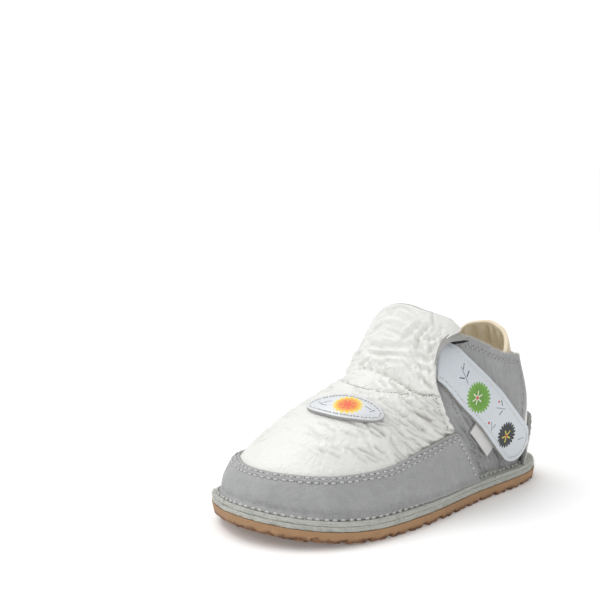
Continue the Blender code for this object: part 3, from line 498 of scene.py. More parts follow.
def skin(around, up, out):
    """The wall's surface moved out by out."""
    around, up = np.broadcast_arrays(np.asarray(around, float), np.asarray(up, float))
    out = np.broadcast_to(np.asarray(out, float), around.shape)
    return wall(around, up) + out[..., None] * outward_normal(around, up)


def up_at_height(around, height, low=0.0, high=1.0):
    """Where on each wall line a height is reached, by halving."""
    around = np.asarray(around, float)
    low = np.full(around.shape, low)
    high = np.full(around.shape, high)
    for _ in range(24):
        middle = (low + high) / 2
        below = wall(around, middle)[..., 2] < height
        low = np.where(below, middle, low)
        high = np.where(below, high, middle)
    return (low + high) / 2


def walk(around, up, heading, distance, steps=8):
    """Places reached by going a distance in mm over the wall from each start, towards a
    heading that is kept tangent to the surface."""
    around, up = np.array(around, float), np.array(up, float)
    heading = np.array(heading, float)
    step = np.asarray(distance, float)[..., None] / steps
    for _ in range(steps):
        along = (wall(around + 1e-3, up) - wall(around - 1e-3, up)) / 2e-3
        climb = (wall(around, up + 1e-2) - wall(around, up - 1e-2)) / 2e-2
        normal = unit(np.cross(climb, along))
        heading = unit(heading - normal * (heading * normal).sum(-1, keepdims=True))
        move = heading * step
        aa, ac, cc = ((u * v).sum(-1) for u, v in ((along, along), (along, climb), (climb, climb)))
        ma, mc = (move * along).sum(-1), (move * climb).sum(-1)
        size = aa * cc - ac * ac
        around = around + (ma * cc - mc * ac) / size
        up = up + (mc * aa - ma * ac) / size
    return around, up


def around_step(width, up=0.5, around=EDGE_AROUND):
    """How much of around a width in mm takes up at a place on the wall."""
    run = wall(around + 0.002, up) - wall(around - 0.002, up)
    return width / (np.linalg.norm(run) / 0.004)


def side_of(around):
    """0 at the back of the heel to 0.5 at the tip of the toe, on either side."""
    around = np.asarray(around, float) % 1.0
    return np.minimum(around, 1.0 - around)


THROAT_AROUND = EDGE_AROUND + around_step(THROAT_LAP, 1.0)
LAP_FADE_AROUND = around_step(LAP_FADE, 1.0)
TUCK_FADE_AROUND = around_step(TUCK_FADE)
BACK_FADE_AROUND = around_step(BACK_LAP_FADE, 1.0, BACK_SEAM_AROUND)
FLARE_AROUND = around_step(FLARE_WIDTH, 1.0)


def beside_quarter(around):
    """1 at the sides, where the quarters reach under vamp and tongue, 0 in front."""
    return 1 - smooth(0.12, 1.12, (side_of(around) - THROAT_AROUND) / LAP_FADE_AROUND)


def tuck(around, up):
    """How far the quarter's outer face lies inside the wall's surface near its front
    edge, to make room for the vamp over it and, higher up, for strap and tongue."""
    near = smooth(EDGE_AROUND - TUCK_FADE_AROUND, EDGE_AROUND, side_of(around))
    under_vamp = LAP_DEPTH * smooth(0.0, 0.3, up)
    under_tongue = (TUCK_DEPTH - LAP_DEPTH) * smooth(0.45, 1.0, up)
    return near * (under_vamp + under_tongue)


def back_lap(around):
    """Height of the quarter's outer face where it lies over the back strip."""
    past = (side_of(around) - BACK_SEAM_AROUND) / BACK_FADE_AROUND
    return BACK_LAP_STEP * (1 - smooth(0, 1, past))


def vamp_lift(around, up):
    """How far the foot of the vamp stands out where it lies over the quarter."""
    return beside_quarter(around) * LAP_DEPTH * (1 - smooth(0.0, 0.3, up))


def upper_inside(around, up):
    """Offset of the upper's inner face from the wall."""
    return -WALL - tuck(around, up) * beside_quarter(around)


def on_quarter(around, up):
    """Offset of whatever lies on the quarter, or runs on between the quarters."""
    return GAP + back_lap(around) - tuck(around, up) * (1 - GAP / 2 / TUCK_DEPTH)


def spaced(start, end, spacing, up):
    """Places around the shoe from start to end, evenly apart in mm at a height up."""
    fine = np.linspace(start, end, 400)
    run = np.cumsum(length_of(np.diff(wall(fine, up), axis=0))[:, 0])
    run = np.concatenate([[0], run])
    return np.interp(np.linspace(0, run[-1], round(run[-1] / spacing) + 1), run, fine)


def spaced_through(start, middle, end, spacing, up):
    """The same from start to end, with one place at middle."""
    return np.concatenate([spaced(start, middle, spacing, up),
                           spaced(middle, end, spacing, up)[1:]])


def wall_grid(around, low, high, rows):
    """Grids of around and up: on each line round the shoe, shares of the way from low to
    high."""
    grid_up = low[:, None] + (high - low)[:, None] * rows
    return np.repeat(around[:, None], len(rows), axis=1), grid_up


# Relief of the leather


def scatter(cells, seed):
    """A number from 0 to 1 for each cell of a lattice, always the same for a seed."""
    mixed = (cells[..., 0] * 374761393 + cells[..., 1] * 668265263
             + cells[..., 2] * 2147483647 + seed * 1274126177) & 0xFFFFFFFF
    mixed = ((mixed ^ (mixed >> 13)) * 1274126177) & 0xFFFFFFFF
    return ((mixed ^ (mixed >> 16)) & 0xFFFF) / 65535.0


def noise(points, size, seed=0):
    """Soft lumps of about a size in mm, from -1 to 1: lattice values, blended."""
    scaled = np.asarray(points, float) / size
    cell = np.floor(scaled).astype(np.int64)
    part = scaled - cell
    part = part * part * (3 - 2 * part)
    total = 0.0
    for corner in range(8):
        offset = np.array([corner & 1, corner >> 1 & 1, corner >> 2 & 1])
        weight = np.where(offset, part, 1 - part).prod(-1)
        total = total + weight * scatter(cell + offset, seed)
    return 2 * total - 1


def crease_relief(points, creases):
    """Relief of all creases at points: each is a trough along a line on the wall, as deep
    as it says on the line, fading with the distance and towards both of its ends, with a
    low bank on either side. Where creases cross, the deeper one counts."""
    deep = np.zeros(points.shape[:-1])
    high = np.zeros(points.shape[:-1])
    for path, width, depth in creases:
        path = np.array(path)
        knots = np.linspace(0, 1, len(path))
        places = open_spline(knots, path)(np.linspace(0, 1, 3 * len(path)))
        line = wall(places[:, 0], places[:, 1])
        reach = length_of(line - line.mean(axis=0)).max() + 4 * width
        close = length_of(points - line.mean(axis=0))[..., 0] < reach
        spots = points[close]
        near = np.full(len(spots), 1e9)
        along = np.zeros(len(spots))
        for k in range(len(line) - 1):
            edge = line[k + 1] - line[k]
            t = np.clip(((spots - line[k]) @ edge) / (edge @ edge), 0, 1)
            gap = length_of(spots - line[k] - t[..., None] * edge)[..., 0]
            along = np.where(gap < near, (k + t) / (len(line) - 1), along)
            near = np.minimum(near, gap)
        fade = abs(depth) * smooth(0.0, 0.25, along) * smooth(0.0, 0.25, 1 - along)
        groove = fade * np.exp(-(near / width) ** 2)
        if depth < 0:
            high[close] = np.maximum(high[close], groove)
            continue
        banks = 0.38 * fade * np.exp(-((near - 1.9 * width) / width) ** 2)
        deep[close] = np.maximum(deep[close], groove)
        high[close] = np.maximum(high[close], banks)
    return high - deep


def small_creases(count, around, up, slant, depth, seed):
    """Short bent creases strewn between the main ones: count of them within ranges of
    around and up, at a slant in degrees to the level line (its value at both ends of the
    range of around), with a depth likewise."""
    random = np.random.default_rng(seed)
    made = []
    for _ in range(count):
        share = random.uniform()
        a = around[0] + (around[1] - around[0]) * share
        u = random.uniform(*up)
        angle = np.radians(slant[0] + (slant[1] - slant[0]) * share + random.normal(0, 9))
        reach = random.uniform(4.5, 13.0)
        bend = random.normal(0, 0.6)
        step = np.array([-1.0, -0.33, 0.33, 1.0]) * reach / 2
        level = step * np.cos(angle) - bend * np.cos(step) * np.sin(angle)
        climb = step * np.sin(angle) + bend * np.cos(step) * np.cos(angle)
        per_around = around_step(1.0, u, a)
        per_up = 0.02 / np.linalg.norm(wall(a, u + 0.01) - wall(a, u - 0.01))
        path = tuple(zip(a + level * per_around, u + climb * per_up))
        made.append((path, random.uniform(0.45, 0.75),
                     (depth[0] + (depth[1] - depth[0]) * share) * random.uniform(0.5, 1.2)))
    return made


def wrinkles(points, length, width, slant, seed):
    """Fine wrinkles that run along a slanted line on the wall: noise drawn out along it,
    folded so that its zero crossings are narrow troughs."""
    along = np.gradient(points, axis=0)
    climb = np.gradient(points, axis=1)
    run = np.cumsum(length_of(along)[..., 0], axis=0)
    rise = np.cumsum(length_of(climb)[..., 0], axis=1)
    bend = 2.2 * noise(points, 9.0, seed + 5)
    across = rise * np.cos(slant) + run * np.sin(slant) + bend
    lengthwise = run * np.cos(slant) - rise * np.sin(slant)
    folded = np.stack([lengthwise / length, across / width, np.full(run.shape, 3.7)], -1)
    return np.clip(1 - np.abs(noise(folded, 1.0, seed)) * 2.6, 0, 1)


# Meshes


def write_piece(name, points, faces, looks, nodes, which=None, values=None, sharp=40):
    """A mesh in metres from points in mm and faces of four points, with its normals out,
    riding on the shoe's one body. which says each face's material, values are numbers
    kept at the points for the materials."""
    points = np.asarray(points, float)
    faces = np.asarray(faces, np.int64)
    corner = points[faces]
    middle = corner.mean(axis=1)
    turn = np.cross(corner[:, 2] - corner[:, 0], corner[:, 3] - corner[:, 1])
    if (middle * turn).sum() < 0:
        faces = faces[:, ::-1]
    mesh = bpy.data.meshes.new(name)
    mesh.vertices.add(len(points))
    mesh.vertices.foreach_set("co", (points * MILLIMETRE).astype(np.float32).ravel())
    mesh.loops.add(faces.size)
    mesh.loops.foreach_set("vertex_index", faces.astype(np.int32).ravel())
    mesh.polygons.add(len(faces))
    starts = np.arange(0, faces.size, 4, dtype=np.int32)
    mesh.polygons.foreach_set("loop_start", starts)
    mesh.polygons.foreach_set("loop_total", np.full(len(faces), 4, np.int32))
    if which is not None:
        mesh.polygons.foreach_set("material_index", np.asarray(which, np.int32))
    for key, numbers in (values or {}).items():
        attribute = mesh.attributes.new(key, "FLOAT", "POINT")
        attribute.data.foreach_set("value", np.asarray(numbers, np.float32).ravel())
    mesh.update(calc_edges=True)
    mesh.validate()
    for look in looks:
        mesh.materials.append(look)
    mesh.shade_smooth()
    mesh.set_sharp_from_angle(angle=np.radians(sharp))
    made = bpy.data.objects.new(name, mesh)
    bpy.context.scene.collection.objects.link(made)
    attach(made, "root")
    if nodes:
        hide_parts(*nodes)
    return made


def sheet_mesh(outer, inner, closed=False, bulge=0.2):
    """A sheet of leather between two grids of points: its face, its back and, along
    every free edge, a rounded cut edge that bulges a little. closed joins the first line
    to the last. Gives points, faces and which (face 0, back 1, cut edge 2)."""
    lines, rows = outer.shape[:2]
    count = lines * rows
    line = np.arange(lines if closed else lines - 1)[:, None]
    row = np.arange(rows - 1)[None, :]
    after = (line + 1) % lines
    front = np.stack([line * rows + row, line * rows + row + 1,
                      after * rows + row + 1, after * rows + row], -1).reshape(-1, 4)
    points = [outer.reshape(-1, 3), inner.reshape(-1, 3)]
    faces = [front, front[:, ::-1] + count]
    which = [np.zeros(len(front)), np.ones(len(front))]
    every = np.arange(lines)
    if closed:
        loops = [(every * rows + rows - 1, every * rows + rows - 2),
                 ((every * rows)[::-1], (every * rows + 1)[::-1])]
    else:
        first = np.concatenate([np.zeros(rows, int), every[1:], np.full(rows - 1, lines - 1),
                                every[-2:0:-1]])
        second = np.concatenate([np.arange(rows), np.full(lines - 1, rows - 1),
                                 np.arange(rows - 2, -1, -1), np.zeros(lines - 2, int)])
        inward_first = np.clip(first, 1, lines - 2)
        inward_second = np.clip(second, 1, rows - 2)
        loops = [(first * rows + second, inward_first * rows + inward_second)]
    total = 2 * count
    flat = points[0]
    under = points[1]
    for rim, inside in loops:
        outward = unit(flat[rim] - flat[inside])
        thick = length_of(under[rim] - flat[rim])
        rings = [rim]
        for share, push in ((0.10, 0.55), (0.5, 1.0), (0.90, 0.55)):
            ring = flat[rim] + (under[rim] - flat[rim]) * share + outward * thick * bulge * push
            points.append(ring)
            rings.append(total + np.arange(len(rim)))
            total += len(rim)
        rings.append(rim + count)
        for upper, lower in zip(rings[:-1], rings[1:]):
            a, b = upper, np.roll(upper, -1)
            c, d = np.roll(lower, -1), lower
            faces.append(np.stack([b, a, d, c], -1))
            which.append(np.full(len(rim), 2.0))
    points = np.concatenate(points)
    return points, np.concatenate(faces), np.concatenate(which)


def near_edge(outer, extra, closed, sides):
    """1 at a sheet's free edges, falling to 0 a few mm inside, for all its points, and
    sides times as far inside at its two side edges."""
    across = np.cumsum(length_of(np.gradient(outer, axis=1))[..., 0], axis=1)
    closest = np.minimum(across - across[:, :1], across[:, -1:] - across)
    if not closed:
        run = np.cumsum(length_of(np.gradient(outer, axis=0))[..., 0], axis=0)
        closest = np.minimum(closest, np.minimum(run - run[:1], run[-1:] - run) / sides)
    rim = np.clip(1 - closest / RIM_REACH, 0, 1).ravel()
    return np.concatenate([rim, rim, np.ones(extra)])


def sheet_piece(name, outer, inner, looks, nodes=(), closed=False, values=None,
                bulge=0.2, sides=1.0):
    """A sheet as a piece. looks are those of its face, its back and its cut edge, and
    values are numbers over its grid that the materials read."""
    points, faces, which = sheet_mesh(outer, inner, closed, bulge)
    extra = len(points) - 2 * outer.shape[0] * outer.shape[1]
    kept = {"rim": near_edge(outer, extra, closed, sides)}
    for key, numbers in (values or {}).items():
        flat = np.asarray(numbers, float).ravel()
        kept[key] = np.concatenate([flat, flat, np.full(extra, flat.mean())])
    return write_piece(name, points, faces, looks, nodes, which, kept, sharp=50)


def square_to_disc(count):
    """A square grid of places laid over a disc without a pole: distance from the middle,
    0 to 1, and share of the turn, 0 to 1."""
    s, t = np.meshgrid(np.linspace(-1, 1, count), np.linspace(-1, 1, count), indexing="ij")
    reach = np.maximum(np.abs(s), np.abs(t))
    safe = np.where(reach > 0, reach, 1)
    right = (s >= np.abs(t)) * (t / safe)
    upper = (t > np.abs(s)) * (2 - s / safe)
    left = (-s >= np.abs(t)) * (4 - t / safe)
    lower = (-t > np.abs(s)) * (6 + s / safe)
    turn = np.where(s >= np.abs(t), right, np.where(t > np.abs(s), upper,
                    np.where(-s >= np.abs(t), left, lower)))
    return reach, (turn / 8) % 1.0


def path_frame(points, normals):
    """Run in mm along a line of points, with functions for the place and the normal."""
    run = np.concatenate([[0], np.cumsum(length_of(np.diff(points, axis=0))[:, 0])])

    def at(distance):
        place = np.stack([np.interp(distance, run, points[:, k]) for k in range(3)], -1)
        facing = np.stack([np.interp(distance, run, normals[:, k]) for k in range(3)], -1)
        return place, unit(facing)

    return run[-1], at


def stitches(lines, pitch, share, radius, sink):
    """Rows of thread stitches: each one a short tube along the line, thickest in its
    middle, whose ends dip into the leather. lines holds (points, normals, shift), where
    shift starts the row later. Gives points and faces of the tubes, and of a dark flat
    plug at both ends of each stitch that paints the shade in its needle hole."""
    sides, rings = 6, 7
    tubes, holes = [], []
    angle = np.linspace(0, 2 * np.pi, sides, endpoint=False)
    s = np.linspace(-1, 1, rings)
    for points, normals, shift in lines:
        total, at = path_frame(points, normals)
        count = max(int(total / pitch), 1)
        middle = (np.arange(count) + 0.5 + shift) * total / count
        middle = middle[middle < total]
        middle = middle + 0.07 * pitch * np.sin(middle * 3.1)
        wobble = 0.09 * np.sin(middle * 7.3)
        distance = middle[:, None] + s * pitch * share / 2
        place, facing = at(distance)
        ahead, _ = at(distance + 0.2)
        behind, _ = at(distance - 0.2)
        forward = unit(ahead - behind)
        side = unit(np.cross(facing, forward))
        thick = radius * np.sqrt(np.clip(1 - 0.85 * s**4, 0.05, 1))[None, :, None, None]
        height = (radius * 0.75 * (1 - s**4) - sink * s**4)[None, :, None]
        centre = place + facing * height + side * wobble[:, None, None]
        ring = (np.cos(angle)[None, None, :, None] * side[:, :, None, :]
                + np.sin(angle)[None, None, :, None] * facing[:, :, None, :])
        tubes.append((centre[:, :, None, :] + ring * thick).reshape(len(middle), -1, 3))
        # dark flat plugs at the stitch ends: painted shade inside the needle holes
        ends = centre[:, (0, -1)] - facing[:, (0, -1)] * (height[:, (0, -1)] - 0.02)
        spread = (np.cos(angle)[None, None, :, None] * side[:, (0, -1)][:, :, None, :]
                  + np.sin(angle)[None, None, :, None] * forward[:, (0, -1)][:, :, None, :])
        flat = ends[:, :, None, :] + spread * radius * 1.15
        flat = np.stack([flat + facing[:, (0, -1)][:, :, None, :] * 0.05,
                         flat - facing[:, (0, -1)][:, :, None, :] * 0.30], axis=2)
        holes.append(flat.reshape(-1, 2 * sides, 3))
    return (tube_faces(np.concatenate(tubes), rings, sides),
            tube_faces(np.concatenate(holes), 2, sides))


def tube_faces(tubes, rings, sides):
    """Points and faces of many tubes of the same build, with flat ends."""
    ring, side = np.meshgrid(np.arange(rings - 1), np.arange(sides), indexing="ij")
    after = (side + 1) % sides
    skin_faces = np.stack([ring * sides + side, ring * sides + after,
                           (ring + 1) * sides + after, (ring + 1) * sides + side], -1)
    caps = []
    for base, order in ((0, 1), ((rings - 1) * sides, -1)):
        for k in range(0, sides - 2, 2):
            caps.append(np.array([base, base + k + 3 if k + 3 < sides else base,
                                  base + k + 2, base + k + 1])[::order])
    caps = [cap for cap in caps if len(set(cap.tolist())) == 4]
    faces = np.concatenate([skin_faces.reshape(-1, 4), np.array(caps)])
    offset = np.arange(len(tubes))[:, None, None] * tubes.shape[1]
    return tubes.reshape(-1, 3), (faces[None] + offset).reshape(-1, 4)


def fibres(name, roots, directions, look, length, width, curl, seed, per_point=1):
    """Loose fibres that stand out of a raw cut edge: each is a narrow four sided spike
    that bends a little."""
    random = np.random.default_rng(seed)
    roots = np.repeat(roots, per_point, axis=0)
    directions = np.repeat(directions, per_point, axis=0)
    count = len(roots)
    roots = roots + random.normal(0, 0.12, (count, 3))
    aim = unit(directions + random.normal(0, curl, (count, 3)))
    bend = random.normal(0, curl * 0.6, (count, 3))
    reach = length * random.uniform(0.35, 1.0, (count, 1))
    across = unit(np.cross(aim, random.normal(0, 1, (count, 3))))
    other = np.cross(aim, across)
    levels = []
    for share, thick in ((0.0, 1.0), (0.5, 0.8), (1.0, 0.25)):
        middle = roots + (aim * share + bend * share**2) * reach
        for turn in (across, other, -across, -other):
            levels.append(middle + turn * width * thick / 2)
    points = np.stack(levels, axis=1)
    points, faces = tube_faces(points, 3, 4)
    return write_piece(name, points, faces, [look], ())


# Materials


def node(tree, kind, links=(), **settings):
    """A shader node with its settings, and its inputs set to numbers or linked."""
    made = tree.nodes.new(kind)
    for key, value in settings.items():
        setattr(made, key, value)
    for key, value in dict(links).items():
        if isinstance(value, bpy.types.NodeSocket):
            tree.links.new(value, made.inputs[key])
        else:
            made.inputs[key].default_value = value
    return made


def maths(tree, operation, a, b=0.0, clamp=False):
    """Result of a maths node."""
    made = node(tree, "ShaderNodeMath", {0: a, 1: b}, operation=operation)
    made.use_clamp = clamp
    return made.outputs[0]


def times(tree, a, b, clamp=False):
    """a times b, kept from 0 to 1 if clamp is set."""
    return maths(tree, "MULTIPLY", a, b, clamp)


def plus(tree, a, b):
    """a plus b."""
    return maths(tree, "ADD", a, b)


def minus(tree, a, b):
    """a minus b."""
    return maths(tree, "SUBTRACT", a, b)


def plug(tree, value, into):
    """Links a socket to another, or sets that one to a number or a colour."""
    if isinstance(value, bpy.types.NodeSocket):
        tree.links.new(value, into)
    else:
        into.default_value = value if np.isscalar(value) else (*value, 1)


def point_value(tree, name):
    """Numbers that a piece keeps at its points."""
    return node(tree, "ShaderNodeAttribute", attribute_name=name).outputs["Fac"]


def object_place(tree, stretch=(1, 1, 1)):
    """A place on the object in metres, stretched along its axes."""
    place = node(tree, "ShaderNodeTexCoord")
    return node(tree, "ShaderNodeMapping",
                {"Vector": place.outputs["Object"], "Scale": stretch}).outputs[0]


def lumps(tree, size, detail=2.0, rough=0.5, stretch=(1, 1, 1)):
    """Noise whose lumps are about a size in mm across."""
    return node(tree, "ShaderNodeTexNoise", {"Vector": object_place(tree, stretch),
                "Scale": 1000.0 / size, "Detail": detail, "Roughness": rough}).outputs["Fac"]


def make_group(name, inputs, outputs, build):
    """A node group with named number inputs, given as (name, value), and outputs."""
    group = bpy.data.node_groups.new(name, "ShaderNodeTree")
    for title, value in inputs:
        made = group.interface.new_socket(title, in_out="INPUT", socket_type="NodeSocketFloat")
        made.default_value = value
    for title in outputs:
        group.interface.new_socket(title, in_out="OUTPUT", socket_type="NodeSocketFloat")
    start = group.nodes.new("NodeGroupInput")
    end = group.nodes.new("NodeGroupOutput")
    for title, value in zip(outputs, build(group, start.outputs)):
        group.links.new(value, end.inputs[title])
    return group


def build_pebbles(tree, given):
    """Tumbled grain: rounded pebbles of Size mm parted by narrow valleys, bent by noise,
    with fine pores on them."""
    place = object_place(tree)
    bend = node(tree, "ShaderNodeTexNoise", {"Vector": place, "Scale": 330.0, "Detail": 2.0})
    shifted = node(tree, "ShaderNodeVectorMath", {0: bend.outputs["Color"],
                   1: (0.0022, 0.0022, 0.0022)}, operation="MULTIPLY").outputs[0]
    moved = node(tree, "ShaderNodeVectorMath", {0: place, 1: shifted}, operation="ADD").outputs[0]
    scale = maths(tree, "DIVIDE", 1000.0, given["Size"])
    cells = node(tree, "ShaderNodeTexVoronoi", {"Vector": moved, "Scale": scale},
                 feature="SMOOTH_F1").outputs["Distance"]
    valley = node(tree, "ShaderNodeTexVoronoi", {"Vector": moved, "Scale": scale},
                  feature="DISTANCE_TO_EDGE").outputs["Distance"]
    open_part = node(tree, "ShaderNodeMapRange", {"Value": valley, "From Max": 0.42},
                     interpolation_type="SMOOTHSTEP").outputs[0]
    dome = minus(tree, 1.0, cells)
    pores = lumps(tree, 0.32, 3.0, 0.6)
    height = plus(tree, times(tree, open_part, 0.55),
                   times(tree, dome, 0.45))
    height = plus(tree, height, times(tree, pores, given["Pores"]))
    return height, minus(tree, 1.0, open_part)


def build_mottle(tree, given):
    """Cloudy variation around 1, of Amount, in lumps of 14 mm and 2.5 mm."""
    broad = minus(tree, lumps(tree, 14.0, 3.0, 0.6), 0.5)
    fine = minus(tree, lumps(tree, 2.5, 2.0, 0.5), 0.5)
    both = plus(tree, broad, times(tree, fine, 0.6))
    return (plus(tree, 1.0, times(tree, both, given["Amount"])),)


def build_nap(tree, given):
    """Raw flesh side or felt: short matted fibres, as noise over noise."""
    coarse = lumps(tree, 1.1, 4.0, 0.7)
    fine = lumps(tree, 0.25, 3.0, 0.7, (1, 1.6, 0.7))
    height = plus(tree, times(tree, coarse, given["Clumps"]), fine)
    return height, plus(tree, 0.78, times(tree, coarse, 0.44))


def build_wear(tree, given):
    """Wear along cut edges: the closeness to an edge, broken up by noise."""
    rim = point_value(tree, "rim")
    rough = lumps(tree, 1.3, 4.0, 0.65)
    sum_of = plus(tree, rim, times(tree, minus(tree, rough, 0.5), 1.1))
    past = minus(tree, sum_of, given["Start"])
    return (times(tree, past, 2.5, clamp=True),)


def build_weave(tree, given):
    """Plain weave over across and along, threads of Pitch mm, high where they cross: the
    product of two rectified sines."""
    across = point_value(tree, "across")
    along = point_value(tree, "along")
    turn = maths(tree, "DIVIDE", np.pi, given["Pitch"])
    one = maths(tree, "ABSOLUTE", maths(tree, "SINE", times(tree, across, turn)))
    two = maths(tree, "ABSOLUTE", maths(tree, "SINE", times(tree, along, turn)))
    return (times(tree, one, two),)


GROUPS = {
    "pebble_grain": make_group("pebble_grain", [("Size", 1.8), ("Pores", 0.25)],
                               ["Height", "Valley"], build_pebbles),
    "mottle": make_group("mottle", [("Amount", 0.15)], ["Shade"], build_mottle),
    "fibre_nap": make_group("fibre_nap", [("Clumps", 0.8)], ["Height", "Shade"], build_nap),
    "edge_wear": make_group("edge_wear", [("Start", 0.75)], ["Mask"], build_wear),
    "plain_weave": make_group("plain_weave", [("Pitch", 0.5)], ["Height"], build_weave),
}


def use(tree, name, **inputs):
    """The outputs of a node group placed with its own values."""
    made = node(tree, "ShaderNodeGroup", node_tree=GROUPS[name])
    for key, value in inputs.items():
        made.inputs[key].default_value = value
    return made.outputs


def shaded(tree, colour, factor):
    """A colour times a number."""
    made = node(tree, "ShaderNodeMix", data_type="RGBA", blend_type="MULTIPLY")
    made.inputs["Factor"].default_value = 1.0
    plug(tree, colour, made.inputs["A"])
    tree.links.new(factor, made.inputs["B"])
    return made.outputs["Result"]


def blended(tree, mask, first, second):
    """first where mask is 0, second where it is 1."""
    made = node(tree, "ShaderNodeMix", data_type="RGBA")
    tree.links.new(mask, made.inputs["Factor"])
    plug(tree, first, made.inputs["A"])
    plug(tree, second, made.inputs["B"])
    return made.outputs["Result"]


def between(tree, value, low, high):
    """A number from 0 to 1 spread from low to high."""
    spread = {"Value": value, "To Min": low, "To Max": high}
    return node(tree, "ShaderNodeMapRange", spread).outputs[0]


def finish(name, build, bump_mm, strength=1.0, **coat):
    """A material: build gives colour, roughness and height, where bump_mm is how high the
    height stands, and coat sets the gloss layer."""
    look = bpy.data.materials.new(name)
    look.use_nodes = True
    tree = look.node_tree
    shader = tree.nodes["Principled BSDF"]
    colour, roughness, height = build(tree)
    tree.links.new(colour, shader.inputs["Base Color"])
    plug(tree, roughness, shader.inputs["Roughness"])
    bump = node(tree, "ShaderNodeBump", {"Height": height, "Strength": strength,
                "Distance": bump_mm * MILLIMETRE})
    tree.links.new(bump.outputs[0], shader.inputs["Normal"])
    for key, value in coat.items():
        shader.inputs[key.replace("_", " ").title()].default_value = value
    return look


WHITE = (0.79, 0.79, 0.765)
GREY = (0.375, 0.377, 0.381)


def build_white(tree):
    """Off-white tumbled leather, warmer and darker in its valleys, yellowed at edges, with painted
    shade in its creases and seam troughs.
    """
    grain = use(tree, "pebble_grain", Size=2.2, Pores=0.16)
    colour = shaded(tree, WHITE, use(tree, "mottle", Amount=0.07)["Shade"])
    valley = times(tree, grain["Valley"], 0.10)
    colour = blended(tree, valley, colour, (0.68, 0.67, 0.63))
    colour = blended(tree, use(tree, "edge_wear", Start=0.98)["Mask"], colour, (0.43, 0.425, 0.41))
    # painted shade: the colour is darkened in the creases and in the troughs beside the gathered
    # seam, where shade falls
    painted_shade = point_value(tree, "painted_shade")
    colour = blended(tree, times(tree, painted_shade, 0.75, clamp=True), colour,
                     (0.44, 0.435, 0.405))
    rough = between(tree, lumps(tree, 1.6, 3.0), 0.42, 0.62)
    patchy = between(tree, lumps(tree, 9.0, 2.0), 0.35, 1.25)
    return colour, rough, times(tree, grain["Height"], patchy)


def build_grey(tree):
    """Smooth grey leather with a fine grain, cloudy, paler where it is worn at edges, with painted
    shade in its creases.
    """
    grain = use(tree, "pebble_grain", Size=0.95, Pores=0.45)
    colour = shaded(tree, GREY, use(tree, "mottle", Amount=0.42)["Shade"])
    colour = blended(tree, times(tree, grain["Valley"], 0.20), colour,
                     (0.26, 0.26, 0.27))
    colour = blended(tree, times(tree, use(tree, "edge_wear", Start=0.80)["Mask"], 0.6),
                     colour, (0.52, 0.52, 0.51))
    # painted shade: the colour is darkened in the creases, where shade falls
    painted_shade = point_value(tree, "painted_shade")
    colour = blended(tree, times(tree, painted_shade, 0.7, clamp=True), colour,
                     (0.19, 0.19, 0.195))
    rough = between(tree, lumps(tree, 2.2, 3.0), 0.46, 0.66)
    return colour, rough, grain["Height"]


def build_raw(tree):
    """Raw cut edge and flesh side of the grey leather."""
    nap = use(tree, "fibre_nap", Clumps=0.9)
    return shaded(tree, (0.40, 0.395, 0.385), nap["Shade"]), 0.95, nap["Height"]


def build_white_raw(tree):
    """Raw cut edge and flesh side of the white leather."""
    nap = use(tree, "fibre_nap", Clumps=0.9)
    return shaded(tree, (0.50, 0.49, 0.475), nap["Shade"]), 0.93, nap["Height"]


def build_felt(tree):
    """Light grey green split leather of the flange and the midsole, matted."""
    nap = use(tree, "fibre_nap", Clumps=1.2)
    colour = shaded(tree, (0.60, 0.615, 0.56), nap["Shade"])
    stain = times(tree, minus(tree, lumps(tree, 5.0, 4.0, 0.65), 0.50), 2.6,
                  clamp=True)
    colour = blended(tree, stain, colour, (0.42, 0.45, 0.39))
    speck = times(tree, minus(tree, lumps(tree, 1.4, 3.0, 0.6), 0.60), 5.0,
                  clamp=True)
    return blended(tree, speck, colour, (0.30, 0.31, 0.28)), 0.95, nap["Height"]


def build_gum(tree):
    """Crepe like gum rubber: tan, speckled, with fine upright marks of the knife, and painted shade
    darkening its side towards the floor.
    """
    speckle = lumps(tree, 0.7, 5.0, 0.75)
    knife = lumps(tree, 0.6, 3.0, 0.6, (1.0, 1.0, 0.12))
    colour = shaded(tree, (0.400, 0.235, 0.120), use(tree, "mottle", Amount=0.35)["Shade"])
    colour = blended(tree, between(tree, speckle, 0.0, 0.35), colour, (0.30, 0.16, 0.075))
    # painted shade: the side is darkened towards its foot, where the shade under the sole falls
    height = point_value(tree, "height")
    uneven = times(tree, minus(tree, lumps(tree, 3.0, 4.0, 0.7), 0.5), 0.9)
    foot = minus(tree, 0.46, plus(tree, height, uneven))
    colour = blended(tree, times(tree, foot, 3.2, clamp=True), colour,
                     (0.105, 0.045, 0.022))
    rough = between(tree, speckle, 0.62, 0.85)
    return colour, rough, plus(tree, speckle, knife)


def build_tread(tree):
    """Underside of the rubber: darker, scuffed and a little dusty."""
    speckle = lumps(tree, 0.8, 5.0, 0.75)
    colour = shaded(tree, (0.235, 0.115, 0.055), use(tree, "mottle", Amount=0.35)["Shade"])
    return blended(tree, between(tree, speckle, 0.0, 0.4), colour, (0.34, 0.20, 0.11)), 0.85, speckle


def build_beige(tree):
    """Soft beige lining leather with a fine grain and soft shading."""
    grain = use(tree, "pebble_grain", Size=0.7, Pores=0.5)
    colour = shaded(tree, (0.800, 0.705, 0.520), use(tree, "mottle", Amount=0.14)["Shade"])
    colour = blended(tree, times(tree, grain["Valley"], 0.12), colour,
                     (0.52, 0.42, 0.27))
    return colour, between(tree, lumps(tree, 3.0, 2.0), 0.50, 0.66), grain["Height"]


def build_printed(tree):
    """Pale blue grey coated leather: nearly smooth, with faint pores."""
    colour = shaded(tree, (0.625, 0.665, 0.705), use(tree, "mottle", Amount=0.06)["Shade"])
    colour = blended(tree, times(tree, use(tree, "edge_wear", Start=0.9)["Mask"], 0.5),
                     colour, (0.72, 0.73, 0.73))
    grain = use(tree, "pebble_grain", Size=0.8, Pores=0.4)
    return colour, between(tree, lumps(tree, 4.0, 3.0), 0.34, 0.48), grain["Height"]


